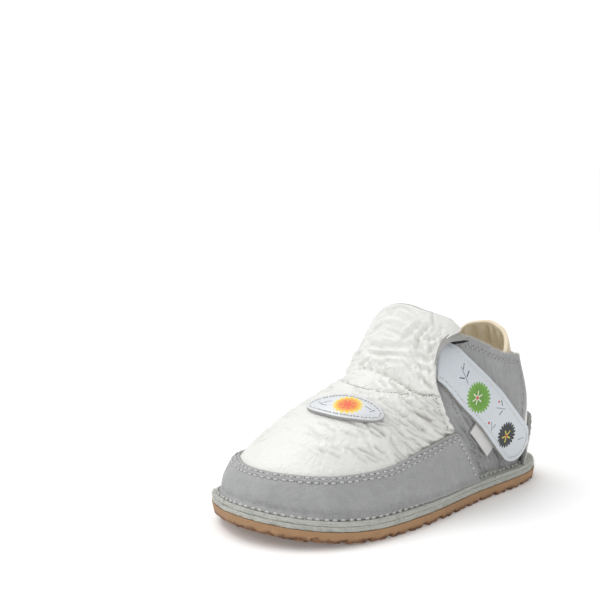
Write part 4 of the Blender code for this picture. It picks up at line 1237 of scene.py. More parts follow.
def build_patch_face(tree):
    """The oval patch's coated leather, paler than the strap's."""
    colour = shaded(tree, (0.69, 0.71, 0.74), use(tree, "mottle", Amount=0.05)["Shade"])
    grain = use(tree, "pebble_grain", Size=0.8, Pores=0.4)
    return colour, between(tree, lumps(tree, 4.0, 3.0), 0.34, 0.48), grain["Height"]


def build_hooks(tree):
    """Black loop pile: matted threads with lighter tips."""
    nap = use(tree, "fibre_nap", Clumps=1.5)
    tips = between(tree, lumps(tree, 0.35, 2.0), 0.0, 1.0)
    return blended(tree, tips, (0.008, 0.008, 0.009), (0.045, 0.045, 0.048)), 0.97, nap["Height"]


def build_ribbon(tree):
    """White woven ribbon, darker between its threads."""
    weave = use(tree, "plain_weave", Pitch=0.42)
    colour = shaded(tree, (0.86, 0.85, 0.83), between(tree, weave["Height"], 0.84, 1.0))
    return colour, 0.85, weave["Height"]


def build_thread(shade):
    """Twisted thread of a shade."""
    def build(tree):
        twist = lumps(tree, 0.35, 2.0, 0.5, (1, 1, 1.8))
        return shaded(tree, shade, between(tree, twist, 0.78, 1.12)), 0.72, twist
    return build


def build_flat(colour):
    """Ink or shadow of one colour, a little cloudy."""
    def build(tree):
        grain = lumps(tree, 0.5, 3.0)
        return shaded(tree, colour, use(tree, "mottle", Amount=0.18)["Shade"]), 0.5, grain
    return build


def build_halo(stops):
    """Ink that turns from one colour to the next with the distance from the middle."""
    def build(tree):
        tone = point_value(tree, "tone")
        uneven = times(tree, minus(tree, lumps(tree, 1.2, 3.0), 0.5), 0.12)
        ramp = node(tree, "ShaderNodeValToRGB", {"Fac": plus(tree, tone, uneven)})
        bar = ramp.color_ramp.elements
        for k, (at, colour) in enumerate(stops):
            stop = bar[k] if k < 2 else bar.new(at)
            stop.position = at
            stop.color = (*colour, 1)
        return ramp.outputs["Color"], 0.45, lumps(tree, 0.5, 3.0)
    return build


white_leather = finish("white_tumbled_leather", build_white, 0.27, 0.9, coat_weight=0.04)
grey_leather = finish("grey_smooth_leather", build_grey, 0.22, 0.9, coat_weight=0.05)
raw_grey = finish("raw_grey_edge", build_raw, 0.30, 0.9)
raw_white = finish("raw_white_edge", build_white_raw, 0.30, 0.9)
felt = finish("grey_felt", build_felt, 0.45, 1.0)
gum = finish("gum_rubber_side", build_gum, 0.22, 0.8)
tread_rubber = finish("gum_rubber_tread", build_tread, 0.25, 0.8)
beige = finish("beige_lining_leather", build_beige, 0.08, 0.7)
printed = finish("coated_leather", build_printed, 0.05, 0.6, coat_weight=0.15, coat_roughness=0.3)
patch_face = finish("coated_patch_leather", build_patch_face, 0.05, 0.6, coat_weight=0.15,
                    coat_roughness=0.3)
hooks = finish("black_loop_pile", build_hooks, 0.5, 1.0)
ribbon = finish("white_ribbon", build_ribbon, 0.10, 1.0)
white_thread = finish("white_thread", build_thread((0.74, 0.73, 0.70)), 0.08, 1.0)
pale_thread = finish("pale_thread", build_thread((0.60, 0.60, 0.585)), 0.08, 1.0)
grey_thread = finish("grey_thread", build_thread((0.50, 0.50, 0.49)), 0.08, 1.0)
# painted shade: the dark colour of the flat plugs that stand for the shade inside each needle hole
needle_hole_shade = finish("needle_hole_shade", build_flat((0.13, 0.127, 0.12)), 0.1, 1.0)
loose_fibre = finish("loose_fibre", build_thread((0.66, 0.65, 0.62)), 0.05, 1.0)
ink_green = finish("ink_green", build_halo(((0.0, (0.10, 0.26, 0.035)),
                   (1.0, (0.18, 0.40, 0.06)))), 0.04)
ink_dark = finish("ink_charcoal", build_flat((0.028, 0.032, 0.036)), 0.04)
ink_red = finish("ink_red", build_flat((0.60, 0.05, 0.05)), 0.04)
ink_yellow = finish("ink_yellow", build_flat((0.72, 0.66, 0.10)), 0.04)
ink_pale = finish("ink_pale", build_flat((0.72, 0.74, 0.60)), 0.04)
ink_sun = finish("ink_sun", build_halo(((0.0, (0.80, 0.10, 0.045)), (1.0, (0.86, 0.80, 0.14)),
                 (0.45, (0.82, 0.17, 0.05)), (0.72, (0.86, 0.48, 0.06)))), 0.04)


# Sole


def sole_points(reach, around, inset):
    """Flat places over the sole: the outline shrunk towards the middle by reach."""
    edge = outline(around, inset)[0]
    return edge * reach[..., None]


def tread_depth(x, y):
    """How deep the tread is at a place: a groove for each pitch, bent into a wave across
    the foot, with a fine rib along the middle of each land."""
    medial, lateral = -0.5 * local_width(share_of(y)), 0.5 * local_width(share_of(y))
    across = (2 * x - lateral - medial) / (lateral - medial)
    inner = smooth(0.03, 0.16, np.minimum(share_of(y), 1 - share_of(y)))
    y_row = y - inner * TREAD_WAVE * (np.cos(across * 2 * np.pi) - 1) / 2
    phase = (y_row - (TREAD_PITCH - TREAD_GROOVE) / 2) % TREAD_PITCH
    groove = smooth(0.0, 0.4, phase) * (1 - smooth(TREAD_GROOVE - 0.4, TREAD_GROOVE, phase))
    land = np.clip((phase - TREAD_GROOVE) / (TREAD_PITCH - TREAD_GROOVE), 0, 1)
    sipe = np.exp(-((land - 0.5) / 0.07) ** 2) * (phase > TREAD_GROOVE)
    used = (share_of(y_row) > 0.045) & (share_of(y_row) < 0.955)
    return used * (TREAD_DEPTH * groove + 0.45 * sipe)


def make_outsole():
    """The gum outsole: its cut side a little rough, its lower edge torn, a wavy tread
    below."""
    reach, around = square_to_disc(190)
    flat = sole_points(reach, around, 0.0)
    x, y = flat[..., 0], flat[..., 1]
    place = np.stack([x, y, 0 * x], -1)
    rough = 0.10 * noise(place, 2.2, 3) * smooth(0.96, 1.0, reach)
    torn = 0.45 + 0.45 * noise(place, 2.6, 4) + 0.35 * noise(place, 1.1, 5)
    low = spring(y) + tread_depth(x, y) + torn * smooth(0.965, 1.0, reach)
    top = np.stack([x, y, spring(y) + OUTSOLE_THICKNESS], -1)
    drawn_in = 1 - 0.012 * smooth(0.98, 1.0, reach) + rough * 0.012
    bottom = np.stack([x * drawn_in, y * drawn_in, np.maximum(low, 0.0)], -1)
    points, faces, which = sheet_mesh(top, bottom, bulge=0.03)
    height = (points[:, 2] - spring(points[:, 1])) / OUTSOLE_THICKNESS
    return write_piece("outsole_rubber", points, faces, [gum, tread_rubber, gum],
                       ["outsole"], which, {"height": height}, sharp=35)


def make_layer(name, inset, bottom, thickness, looks, nodes, ragged, count=120):
    """A flat layer of the sole whose cut edge is a little ragged."""
    reach, around = square_to_disc(count)
    flat = sole_points(reach, around, inset)
    place = np.concatenate([flat, np.zeros_like(flat[..., :1])], -1)
    uneven = ragged * (noise(place, 1.3, 11) + 0.5 * noise(place, 4.0, 12))
    flat = flat * (1 + (uneven * smooth(0.9, 1.0, reach) / 35)[..., None])
    lift = spring(flat[..., 1])
    top = np.concatenate([flat, (bottom + thickness + lift)[..., None]], -1)
    under = np.concatenate([flat, (bottom + lift)[..., None]], -1)
    points, faces, which = sheet_mesh(top, under, bulge=0.05)
    extra = len(points) - 2 * reach.size
    rim = smooth(0.9, 1.0, reach).ravel()
    values = {"rim": np.concatenate([rim, rim, np.ones(extra)])}
    return write_piece(name, points, faces, looks, nodes, which, values)


def make_flange():
    """The turned out foot of the upper: a ring between the wall and the lip, its top
    rising softly into the wall, with a ragged lip."""
    around = np.linspace(0, 1, 500, endpoint=False)
    insets = (FLANGE_INSET, FLANGE_INSET + 0.7, 2.0, 2.9, 3.6, 4.1, 4.6, 5.4, 6.2)
    rises = (-0.12, 0.0, 0.05, 0.08, 0.22, 0.55, 0.9, 0.4, 0.0)
    outer, inner = [], []
    for inset, rise in zip(insets, rises):
        edge = outline(around, np.full_like(around, inset))[0]
        place = np.concatenate([edge, np.zeros_like(edge[:, :1])], -1)
        uneven = 0.13 * noise(place, 1.2, 21) + 0.10 * noise(place, 4.5, 22)
        outward = outline(around, 0.0)[1]
        lip = max(0.0, 1 - (inset - FLANGE_INSET) / 1.5)
        edge = edge + outward * (uneven * lip)[:, None]
        lift = spring(edge[:, 1])
        top = flange_top + rise + lift + 0.10 * noise(place, 2.0, 23)
        outer.append(np.column_stack([edge, top]))
        inner.append(np.column_stack([edge, flange_bottom + lift]))
    outer, inner = np.stack(outer, 1)[:, ::-1], np.stack(inner, 1)[:, ::-1]
    return sheet_piece("flange_split_leather", outer, inner, [felt, felt, felt],
                       ["upper"], closed=True, bulge=0.06)


# Upper


def gathers(run, distance, reach, pitch, depth, seed):
    """Puckers square to a seam: rounded folds of about a pitch, highest beside the seam
    and gone after reach, each a little different in strength."""
    phase = run / pitch + 0.35 * np.sin(run * 0.9 + seed)
    strength = 0.65 + 0.35 * np.sin(run * 1.7 + 2 * seed)
    ridge = 0.5 + 0.5 * np.cos(2 * np.pi * phase)
    rise = smooth(0.0, 0.8, distance) * (1 - smooth(0.35 * reach, reach, distance))
    return depth * strength * ridge * rise


def seam_share(around):
    """1 along the gathered part of the seam, in front, fading towards its two ends."""
    fade_from, fade_to = 0.225, 0.295
    return smooth(fade_from, fade_to, side_of(around))


def run_of(points):
    """Distance in mm of each point of a grid from the grid's first line."""
    return np.cumsum(length_of(np.gradient(points, axis=0))[..., 0], axis=0)


def below_seam(points):
    """Distance in mm of each point of a grid from the grid's top row."""
    climb = length_of(np.diff(points, axis=1))[..., 0]
    down = np.cumsum(climb[:, ::-1], axis=1)[:, ::-1]
    return np.concatenate([down, np.zeros_like(down[:, :1])], axis=1)


def vamp_out(around, up, points, run, distance):
    """Height of the vamp's face over the wall: its lap over the quarters, the rolled and
    puckered band below the seam, the worn creases, fine wrinkles and a soft unevenness.
    Also how much painted shade darkens its small creases and the trough below the seam."""
    front = seam_share(around)
    out = vamp_lift(around, up)
    out += front * gathers(run, distance, 4.4, 2.3, 0.70, 1.0)
    roll = np.exp(-((distance - 2.2) / 1.4) ** 2) * 0.50
    out += front * roll
    out -= 1.15 * np.exp(-(distance / 0.85) ** 2)
    out += 1.25 * crease_relief(points, VAMP_CREASES)
    outer_side = small_creases(170, (0.208, 0.46), (0.38, 0.95), (44, 14), (0.72, 0.42), 31)
    inner_side = small_creases(170, (0.792, 0.54), (0.38, 0.95), (-44, -14), (0.72, 0.42), 32)
    top = small_creases(30, (0.42, 0.58), (0.44, 0.84), (12, -12), (0.22, 0.22), 33)
    clear = smooth(0.6, 2.5, distance) * smooth(0.26, 0.42, up)
    small = clear * crease_relief(points, outer_side + inner_side + top)
    out += 1.35 * small
    side = 1 - smooth(0.30, 0.42, side_of(around))
    lateral = np.where(around < 0.5, 1.0, -1.0)
    fan = wrinkles(points, 8.0, 2.2, -0.6 * lateral, 31)
    out -= (0.03 + 0.13 * side) * clear * fan
    out += 0.28 * noise(points, 12.0, 41) + 0.13 * noise(points, 4.5, 42)
    # painted shade: how much the colour is darkened in the small creases and in the trough right
    # below the seam
    shade = np.clip(-1.05 * small, 0, 1) + 0.55 * np.exp(-(distance / 0.9) ** 2)
    return out, shade


def make_vamp():
    """The white vamp, from under the rand up to the gathered seam, lapping over both
    quarters."""
    around = spaced_through(EDGE_AROUND, 0.5, 1 - EDGE_AROUND, 0.50, 0.7)
    start = up_at_height(around, wall(around, 0.0 * around)[:, 2] + 2.0)
    rows = np.linspace(0, 1, 112)
    grid_around, grid_up = wall_grid(around, start, 1.006, rows)
    points = wall(grid_around, grid_up)
    run, distance = run_of(points), below_seam(points)
    out, shade = vamp_out(grid_around, grid_up, points, run, distance)
    inside = vamp_lift(grid_around, grid_up) - TONGUE_THICKNESS
    outer = skin(grid_around, grid_up, out)
    inner = skin(grid_around, grid_up, inside)
    # the vamp's creases and seam trough carry painted shade into its colour
    sheet_piece("vamp", outer, inner, [white_leather, raw_white, raw_white],
                ["upper"], values={"painted_shade": shade})
    return around, grid_up, outer


def tongue_flare(around, up):
    """How far the tongue's free side edges curl outwards."""
    past = (side_of(around) - EDGE_AROUND) / FLARE_AROUND
    widest = np.where(around % 1.0 < 0.5, TONGUE_FLARE, MEDIAL_FLARE)
    return widest * (1 - np.clip(past, 0, 1)) ** 2 * smooth(1.15, 1.75, up)


def tongue_out(around, up, points, run, above):
    """Height of the tongue's face over the wall: its flare, the gathers above the seam,
    its worn creases, wrinkles towards its sides and a soft unevenness.
    Also how much painted shade darkens its small creases and the trough above the seam."""
    front = seam_share(around)
    out = tongue_flare(around, up)
    out += front * gathers(run, above, 8.5, 2.6, 0.80, 2.0)
    out -= 0.90 * np.exp(-(above / 0.85) ** 2) * smooth(0.205, 0.235, side_of(around))
    out += 1.3 * crease_relief(points, TONGUE_CREASES)
    outer_side = small_creases(40, (0.215, 0.35), (1.14, 1.92), (75, 40), (0.70, 0.45), 51)
    inner_side = small_creases(40, (0.785, 0.65), (1.14, 1.92), (-75, -40), (0.70, 0.45), 52)
    top = small_creases(48, (0.33, 0.67), (1.20, 1.95), (22, -22), (0.30, 0.30), 53)
    clear = smooth(1.2, 4.0, above)
    small = clear * crease_relief(points, outer_side + inner_side + top)
    out += small
    out += 0.35 * noise(points, 12.0, 61) + 0.15 * noise(points, 4.5, 62)
    # painted shade: how much the colour is darkened in the small creases and in the trough right
    # above the seam
    shade = np.clip(-0.7 * small, 0, 1) + 0.55 * np.exp(-(above / 0.9) ** 2)
    return out, shade


def make_flap_back(around, up):
    """The flesh side of the tongue that shows behind its rolled outer edge, widest just
    under the corner, with a black sheet there that paints the shadow between flap and strap."""
    rows = np.linspace(1.42, 1.955, 60)
    edge = np.interp(rows, up[0], around[0])
    wide = 2.3 * smooth(1.42, 1.86, rows) * (1 - 0.6 * smooth(1.90, 1.955, rows))
    one = around_step(1.0, 1.7)
    for name, look, part, first, last, depth in (
            # name, look, rows, reach under the flap and past its edge, depth below its face
            ("flap_rolled_edge", raw_grey, slice(0, 60), 1.2, 1.0, 0.45),
            # a black sheet of loop pile under the flap's corner: painted shadow between flap and
            # strap
            ("flap_corner_shadow", hooks, slice(40, 52), 0.4, 1.45, 0.95)):
        share = np.linspace(0, 1, 12)
        out_of_edge = -first + (first + wide[part, None] * last) * share
        at = edge[part, None] - one * out_of_edge
        height = np.repeat(rows[part, None], len(share), axis=1)
        lift = tongue_flare(np.full_like(at, EDGE_AROUND), height) - depth
        roll = 0.6 * np.clip(out_of_edge, 0, None) / 2.3
        outer = skin(at, height, lift + roll)
        inner = skin(at, height, lift + roll - 0.8)
        sheet_piece(name, outer, inner, [look, look, look])


def make_tongue():
    """The tongue: its side edges are cut in below the corners, and the corners are
    rounded and reach back a little."""
    around = spaced_through(EDGE_AROUND, 0.5, 1 - EDGE_AROUND, 0.50, 1.5)
    start = 0.985
    rise = TONGUE_CORNER_RISE * (1 - smooth(EDGE_AROUND, EDGE_AROUND + 0.14, around))
    one = around_step(1.0, 1.5)
    from_edge = (side_of(around) - EDGE_AROUND) / one
    rise -= 2.0 * (1 - np.clip(from_edge / 3.4, 0, 1)) ** 2
    reach = 3 * (top_line(around) - wall(around, np.full_like(around, 5 / 3)))[:, 2]
    finish_up = 2.0 + rise / reach
    rows = np.linspace(0, 1, 64) ** 1.15
    grid_up = start + (finish_up - start)[:, None] * rows
    cut_in = open_spline(*zip(*TONGUE_CUT))(grid_up)[..., 0]
    strength = np.where(around < 0.5, 1.0, 0.6) * (1 - smooth(0, 15.0, from_edge))
    towards_front = np.where(around < 0.5, 1.0, -1.0)
    grid_around = around[:, None] + (towards_front * strength * one)[:, None] * cut_in
    points = wall(grid_around, grid_up)
    run = run_of(points)
    above = below_seam(points[:, ::-1])[:, ::-1]
    out, shade = tongue_out(grid_around, grid_up, points, run, above)
    inside = tongue_flare(grid_around, grid_up) - TONGUE_THICKNESS
    outer = skin(grid_around, grid_up, out)
    inner = skin(grid_around, grid_up, inside)
    # the tongue's creases and seam trough carry painted shade into its colour
    sheet_piece("tongue_flap", outer, inner, [white_leather, raw_grey, raw_grey],
                ["tongue"], values={"painted_shade": shade}, sides=1.6)
    make_flap_back(grid_around, grid_up)


def quarter_out(around, up):
    """Height of the quarter's face over the wall."""
    return back_lap(around) - tuck(around, up) * beside_quarter(around)


def collar_dip(around):
    """How far in mm the collar sinks below the top line between ankle and heel."""
    side = side_of(around)
    return COLLAR_DIP * smooth(0.100, 0.142, side) * (1 - smooth(0.150, 0.194, side))


def collar_up(around, below):
    """up of a place that lies a height in mm below the top line."""
    high = top_line(around)[:, 2]
    low = wall(around, np.full_like(around, 5 / 3))[:, 2]
    return 2.0 - below / (3 * (high - low))


def make_quarter(name, side):
    """One grey quarter, from its raw rear edge over the back strip to its front edge
    under the vamp. side is 1 on the outer side and -1 on the inner side."""
    around = spaced(BACK_SEAM_AROUND, THROAT_AROUND, 0.5, 1.0)
    if side < 0:
        around = 1 - around[::-1]
    share = np.linspace(0.0, 1.0, 88)
    top = collar_up(around, collar_dip(around))
    grid_around, grid_up = wall_grid(around, np.full_like(top, 0.02), top, share)
    points = wall(grid_around, grid_up)
    out = quarter_out(grid_around, grid_up)
    free = 1 - smooth(EDGE_AROUND - 0.012, EDGE_AROUND, side_of(grid_around))
    relief = crease_relief(points, QUARTER_CREASES)
    ends = (0.200, 0.125) if side > 0 else (0.800, 0.875)
    low_part = small_creases(46, ends, (0.06, 0.70), (side * 75, side * 55), (0.40, 0.28), 71)
    high_part = small_creases(30, ends, (0.80, 1.85), (side * 70, side * 80), (0.26, 0.20), 72)
    small = crease_relief(points, low_part + high_part)
    relief += 1.4 * small
    relief += 0.14 * noise(points, 8.0, 81)
    lip = smooth(0.90, 1.0, np.broadcast_to(share, grid_up.shape))
    relief += 0.30 * lip * noise(points, 3.0, 82)
    relief = np.clip(relief, -0.8, 0.20) * free
    outer = skin(grid_around, grid_up, out + relief)
    inner = skin(grid_around, grid_up, upper_inside(grid_around, grid_up) + 0.1)
    # painted shade: the colour is darkened along the small creases, where shade falls
    sheet_piece(name, outer, inner, [grey_leather, raw_grey, raw_grey],
                ["upper"], values={"painted_shade": np.clip(-1.6 * small, 0, 1) * free})
    return around, grid_up, outer


def make_back_strip():
    """White strip up the back of the heel, under both quarters' rear edges, with its top
    edge rolled out."""
    reach = BACK_SEAM_AROUND + 0.012
    around = spaced_through(-reach, 0, reach, 0.6, 1.0)
    rows = np.linspace(0.02, 2.04, 76)
    grid_around, grid_up = np.meshgrid(around, rows, indexing="ij")
    points = wall(grid_around, grid_up)
    free = 1 - smooth(BACK_SEAM_AROUND - 0.012, BACK_SEAM_AROUND - 0.002, side_of(grid_around))
    relief = 0.14 * noise(points, 7.0, 91) - 0.10 * wrinkles(points, 6.0, 1.6, 0.2, 92)
    roll = 0.7 * smooth(1.75, 2.0, grid_up) * free
    out = np.minimum(relief, 0.15) * free + roll - 0.35 * (1 - free)
    outer = skin(grid_around, grid_up, out)
    inner = skin(grid_around, grid_up, -WALL + 0.15 + roll)
    sheet_piece("back_strip", outer, inner, [white_leather, raw_white, raw_white],
                ["upper"])


def rand_limits(around):
    """Where the rand begins and ends on each wall line."""
    edge_height = open_spline([row[0] for row in RAND_EDGE], [row[1] for row in RAND_EDGE])
    foot = wall(around, np.zeros_like(around))[:, 2]
    low = up_at_height(around, foot + 0.45)
    high = low.copy()
    for _ in range(8):
        along = share_of(wall(around, high)[:, 1])
        high = up_at_height(around, edge_height(along)[:, 0] * GIRTH_HEIGHT)
    return low, high


def make_rand():
    """The toe rand: a band laid round the vamp, turned out at its foot, with a shallow
    trough under each row of stitches."""
    around = spaced_through(EDGE_AROUND, 0.5, 1 - EDGE_AROUND, 0.6, 0.3)
    low, high = rand_limits(around)
    rows = np.linspace(0, 1, 40)
    grid_around, grid_up = wall_grid(around, low, high, rows)
    points = wall(grid_around, grid_up)
    below = below_seam(points)
    height = below_seam(points[:, ::-1])[:, ::-1]
    clear = vamp_lift(grid_around, grid_up) + GAP
    turned = 0.9 * (1 - smooth(0.0, 1.7, height)) ** 1.5
    skived = np.exp(-(below / 0.9) ** 2)
    relief = 0.28 * noise(points, 9.0, 101) + 0.16 * noise(points, 3.0, 102)
    for at in (1.1, 2.7):
        relief = relief - 0.20 * np.exp(-((below - at) / 0.4) ** 2)
    relief += 0.16 * np.exp(-((below - 1.9) / 0.4) ** 2)
    pleats = np.cos(run_of(points) * 2 * np.pi / 2.9 + 1.5 * noise(points, 7.0, 104))
    relief += 0.16 * pleats * np.exp(-((height - 1.7) / 1.4) ** 2)
    relief -= 0.30 * np.exp(-((height - 1.6) / 0.9) ** 2) * (0.6 + 0.4 * noise(points, 2.6, 103))
    ends = (0.205, 0.42), (0.795, 0.58)
    worn = [small_creases(34, end, (0.06, 0.40), (70, 80), (0.26, 0.16), 105) for end in ends]
    relief += crease_relief(points, worn[0] + worn[1])
    outer = skin(grid_around, grid_up, clear + RAND_THICKNESS + turned + relief - 0.75 * skived)
    inner = skin(grid_around, grid_up, clear + turned - 0.55 * skived)
    sheet_piece("toe_rand_band", outer, inner, [grey_leather, raw_grey, raw_grey],
                ["toe_rand"])
    return around, grid_up, outer


def make_lining():
    """Soft lining inside the quarters with upright folds, and a rounded tab that stands
    above the collar at the back, its edge turned over."""
    reach = LINING_AROUND
    around = spaced_through(-reach, 0, reach, 0.7, 1.0)
    low = up_at_height(around, flange_bottom + INSOLE_THICKNESS + 2 * GAP + 0.4)
    tab = np.clip(1 - (np.abs(around) / HEEL_TAB_AROUND) ** 4, 0, 1)
    rise = (HEEL_TAB_HEIGHT - COLLAR_HEIGHT) * tab - LINING_BELOW_COLLAR * (1 - tab)
    high = collar_up(around, collar_dip(around) * (1 - tab) - rise)
    rows = np.linspace(0, 1, 64)
    grid_around, grid_up = wall_grid(around, low, high, rows)
    points = wall(grid_around, grid_up)
    run = run_of(points)
    run = run - run[len(around) // 2]
    down = below_seam(points)
    out = upper_inside(grid_around, np.maximum(grid_up, 0.3)) - GAP
    folds = 0.0
    for at, depth in ((-33, 0.7), (-25, 0.9), (-16.5, 1.0), (-9, 0.9), (-2.5, 1.0), (4, 0.8),
                      (11, 1.0), (19, 0.9), (27, 0.8), (35, 0.6)):
        drift = run - at - 0.02 * down * at / 10 - 0.8 * np.sin(down / 9 + at)
        folds = folds - depth * np.exp(-(drift / 0.8) ** 2)
        folds = folds + 0.45 * depth * np.exp(-((np.abs(drift) - 2.6) / 1.5) ** 2)
    deep = smooth(0.8, 4.0, down)
    relief = folds * deep + 0.20 * noise(points, 8.0, 111)
    roll = 0.55 * np.exp(-((down - 1.0) / 1.3) ** 2)
    face = skin(grid_around, grid_up, out - LINING_THICKNESS - relief * 0.8 - 0.2 * roll)
    back = skin(grid_around, grid_up, out - 0.15 * (1 - smooth(0, 2, down)))
    sheet_piece("heel_lining_leather", face[::-1], back[::-1], [beige, beige, beige],
                ["heel_lining"])


# Strap and what lies under it


def make_strap_line():
    """The strap's middle line over the distance in mm from its rounded end."""
    table = np.array(STRAP_PATH)
    middle = wall(table[:, 0], table[:, 1])
    run = np.concatenate([[0], np.cumsum(length_of(np.diff(middle, axis=0))[:, 0])])
    return open_spline(run, table), run[-1]


strap_line, strap_length = make_strap_line()


def on_strap(distance, across):
    """around and up of a place at a distance from the strap's rounded end and across
    from its middle line, positive towards its upper edge."""
    distance, across = np.broadcast_arrays(np.asarray(distance, float), np.asarray(across, float))
    here = strap_line(distance)
    ahead = strap_line(distance + 0.5)
    behind = strap_line(distance - 0.5)
    forward = wall(ahead[..., 0], ahead[..., 1]) - wall(behind[..., 0], behind[..., 1])
    heading = np.cross(outward_normal(here[..., 0], here[..., 1]), forward)
    return walk(here[..., 0], here[..., 1], -heading, across)


def strap_face(distance, across, lift=0.0):
    """A place on the strap's upper face, and lift mm above it."""
    distance, across = np.broadcast_arrays(np.asarray(distance, float), np.asarray(across, float))
    around, up = on_strap(distance, across)
    over_pad = 1 - smooth(*STRAP_OVER_PAD, distance)
    out = on_quarter(around, up) + over_pad * (LOOP_PAD_THICKNESS + GAP) + STRAP_THICKNESS
    half = strap_line(distance)[..., 2]
    relief = 0.25 * (1 - np.clip(np.abs(across) / half, 0, 1) ** 4) - 0.25
    relief -= 0.14 * np.exp(-((half - np.abs(across) - 1.7) / 0.45) ** 2)
    relief += 0.13 * noise(np.stack([distance, across, 0 * across], -1), 9.0, 121)
    return skin(around, up, out + lift + relief), outward_normal(around, up)


def strap_grid():
    """Distances and places across for the strap's mesh: an even grid whose lines are
    shortened towards the rounded end, so that the end needs no point."""
    end = strap_line(0.0)[2]
    ahead = np.linspace(STRAP_CUT, strap_length, 210)
    share = np.linspace(-1, 1, 29)
    ahead = np.repeat(ahead[:, None], len(share), axis=1)
    half = strap_line(ahead)[..., 2]
    across = share * half
    bow = end - np.sqrt(np.clip(end**2 - np.clip(np.abs(across), 0, end * 0.995) ** 2, 0, None))
    distance = ahead + bow * (1 - smooth(0, end * 1.6, ahead - STRAP_CUT))
    return distance, across


def make_strap():
    """The strap's leather, from its rounded end to its sewn end on the inner side."""
    distance, across = strap_grid()
    outer, _ = strap_face(distance, across)
    around, up = on_strap(distance, across)
    over_pad = 1 - smooth(*STRAP_OVER_PAD, distance)
    lift = on_quarter(around, up) + over_pad * (LOOP_PAD_THICKNESS + GAP)
    inner = skin(around, up, lift)
    sheet_piece("strap_leather", outer, inner, [printed, raw_grey, raw_grey],
                ["strap"])


def make_loop_pad():
    """The loop patch between strap and quarter, its pile a little uneven."""
    start, end = LOOP_PAD_FROM_TIP, LOOP_PAD_FROM_TIP + LOOP_PAD_LENGTH
    low, high = LOOP_PAD_LOW, LOOP_PAD_LOW + LOOP_PAD_WIDTH
    spacing = 0.35
    distance, across = np.meshgrid(np.linspace(start, end, int(LOOP_PAD_LENGTH / spacing)),
                                   np.linspace(low, high, int((high - low) / spacing)),
                                   indexing="ij")
    around, up = on_strap(distance, across)
    under = on_quarter(around, up)
    points = skin(around, up, under)
    pile = 0.08 * noise(points, 0.8, 131)
    outer = skin(around, up, under + LOOP_PAD_THICKNESS + pile)
    sheet_piece("loop_pad_pile", outer, points, [hooks, hooks, hooks],
                ["loop_pad"], values={"across": across, "along": distance})


def make_label():
    """The folded ribbon below the strap: two layers joined by a round fold."""
    distance = np.linspace(LABEL_FROM_TIP, LABEL_FROM_TIP + LABEL_LENGTH, 60)
    low = -STRAP_PATH[0][2] - LABEL_SHOWS
    share = np.linspace(0, 1, 34)
    half = LABEL_THICKNESS / 2
    fold = np.clip((share - 0.42) / 0.16, 0, 1)
    depth = np.where(share < 0.5, share / 0.42, (1 - share) / 0.42)
    across = low + 0.25 + np.clip(1 - np.clip(depth, 0, 1), 0, 1) * (LABEL_WIDTH - 0.25)
    across = across - 0.25 * np.sin(fold * np.pi)
    height = half + 0.21 * np.cos(fold * np.pi)
    grid_distance, grid_across = np.meshgrid(distance, across, indexing="ij")
    grid_height = np.repeat(height[None, :], len(distance), axis=0)
    around, up = on_strap(grid_distance, grid_across)
    bow = 0.25 * np.sin((grid_distance - LABEL_FROM_TIP) / LABEL_LENGTH * np.pi)
    under = on_quarter(around, up) + grid_height + bow
    outer = skin(around, up, under)
    line = np.gradient(outer, axis=0)
    over = np.gradient(outer, axis=1)
    facing = unit(np.cross(over, line))
    thin = 0.16
    run = np.cumsum(length_of(over)[..., 0], axis=1)
    sheet_piece("label_ribbon", outer + facing * thin / 2, outer - facing * thin / 2,
                [ribbon, ribbon, ribbon], ["label_tab"],
                values={"across": run, "along": grid_distance})


# Patches and their printed motifs


def patch_place(x, y):
    """around and up of a place on the oval patch, with x along it."""
    turn = np.radians(PATCH_TURN)
    flat_x = x * np.cos(turn) - y * np.sin(turn)
    flat_y = x * np.sin(turn) + y * np.cos(turn)
    heading = np.stack([flat_x, flat_y, 0 * flat_x], -1) + np.array([1e-6, 0, 0])
    start = np.broadcast_to(PATCH_AROUND, flat_x.shape)
    return walk(start, np.broadcast_to(PATCH_UP, flat_x.shape), heading,
                np.hypot(flat_x, flat_y))


def patch_top(x, y, lift=0.0):
    """A place on the oval patch's face, lift mm above it, with the normal: the face is a
    low dome."""
    around, up = patch_place(x, y)
    reach = np.hypot(x / (PATCH_LENGTH / 2), y / (PATCH_WIDTH / 2))
    dome = 0.28 * (1 - np.clip(reach, 0, 1) ** 6) - 0.28
    return skin(around, up, GAP + PATCH_THICKNESS + dome + lift), outward_normal(around, up)


def make_vamp_patch():
    """The oval patch, with a shallow trough under its stitches."""
    reach, turn = square_to_disc(64)
    x = PATCH_LENGTH / 2 * reach * np.cos(turn * 2 * np.pi)
    y = PATCH_WIDTH / 2 * reach * np.sin(turn * 2 * np.pi)
    outer, facing = patch_top(x, y)
    inset = (1 - reach) * PATCH_WIDTH / 2
    outer = outer - (0.12 * np.exp(-((inset - 1.2) / 0.35) ** 2))[..., None] * facing
    around, up = patch_place(x, y)
    inner = skin(around, up, np.full(x.shape, GAP * 0.5))
    sheet_piece("vamp_patch_leather", outer, inner, [patch_face, raw_grey, raw_grey],
                ["vamp_patch"])


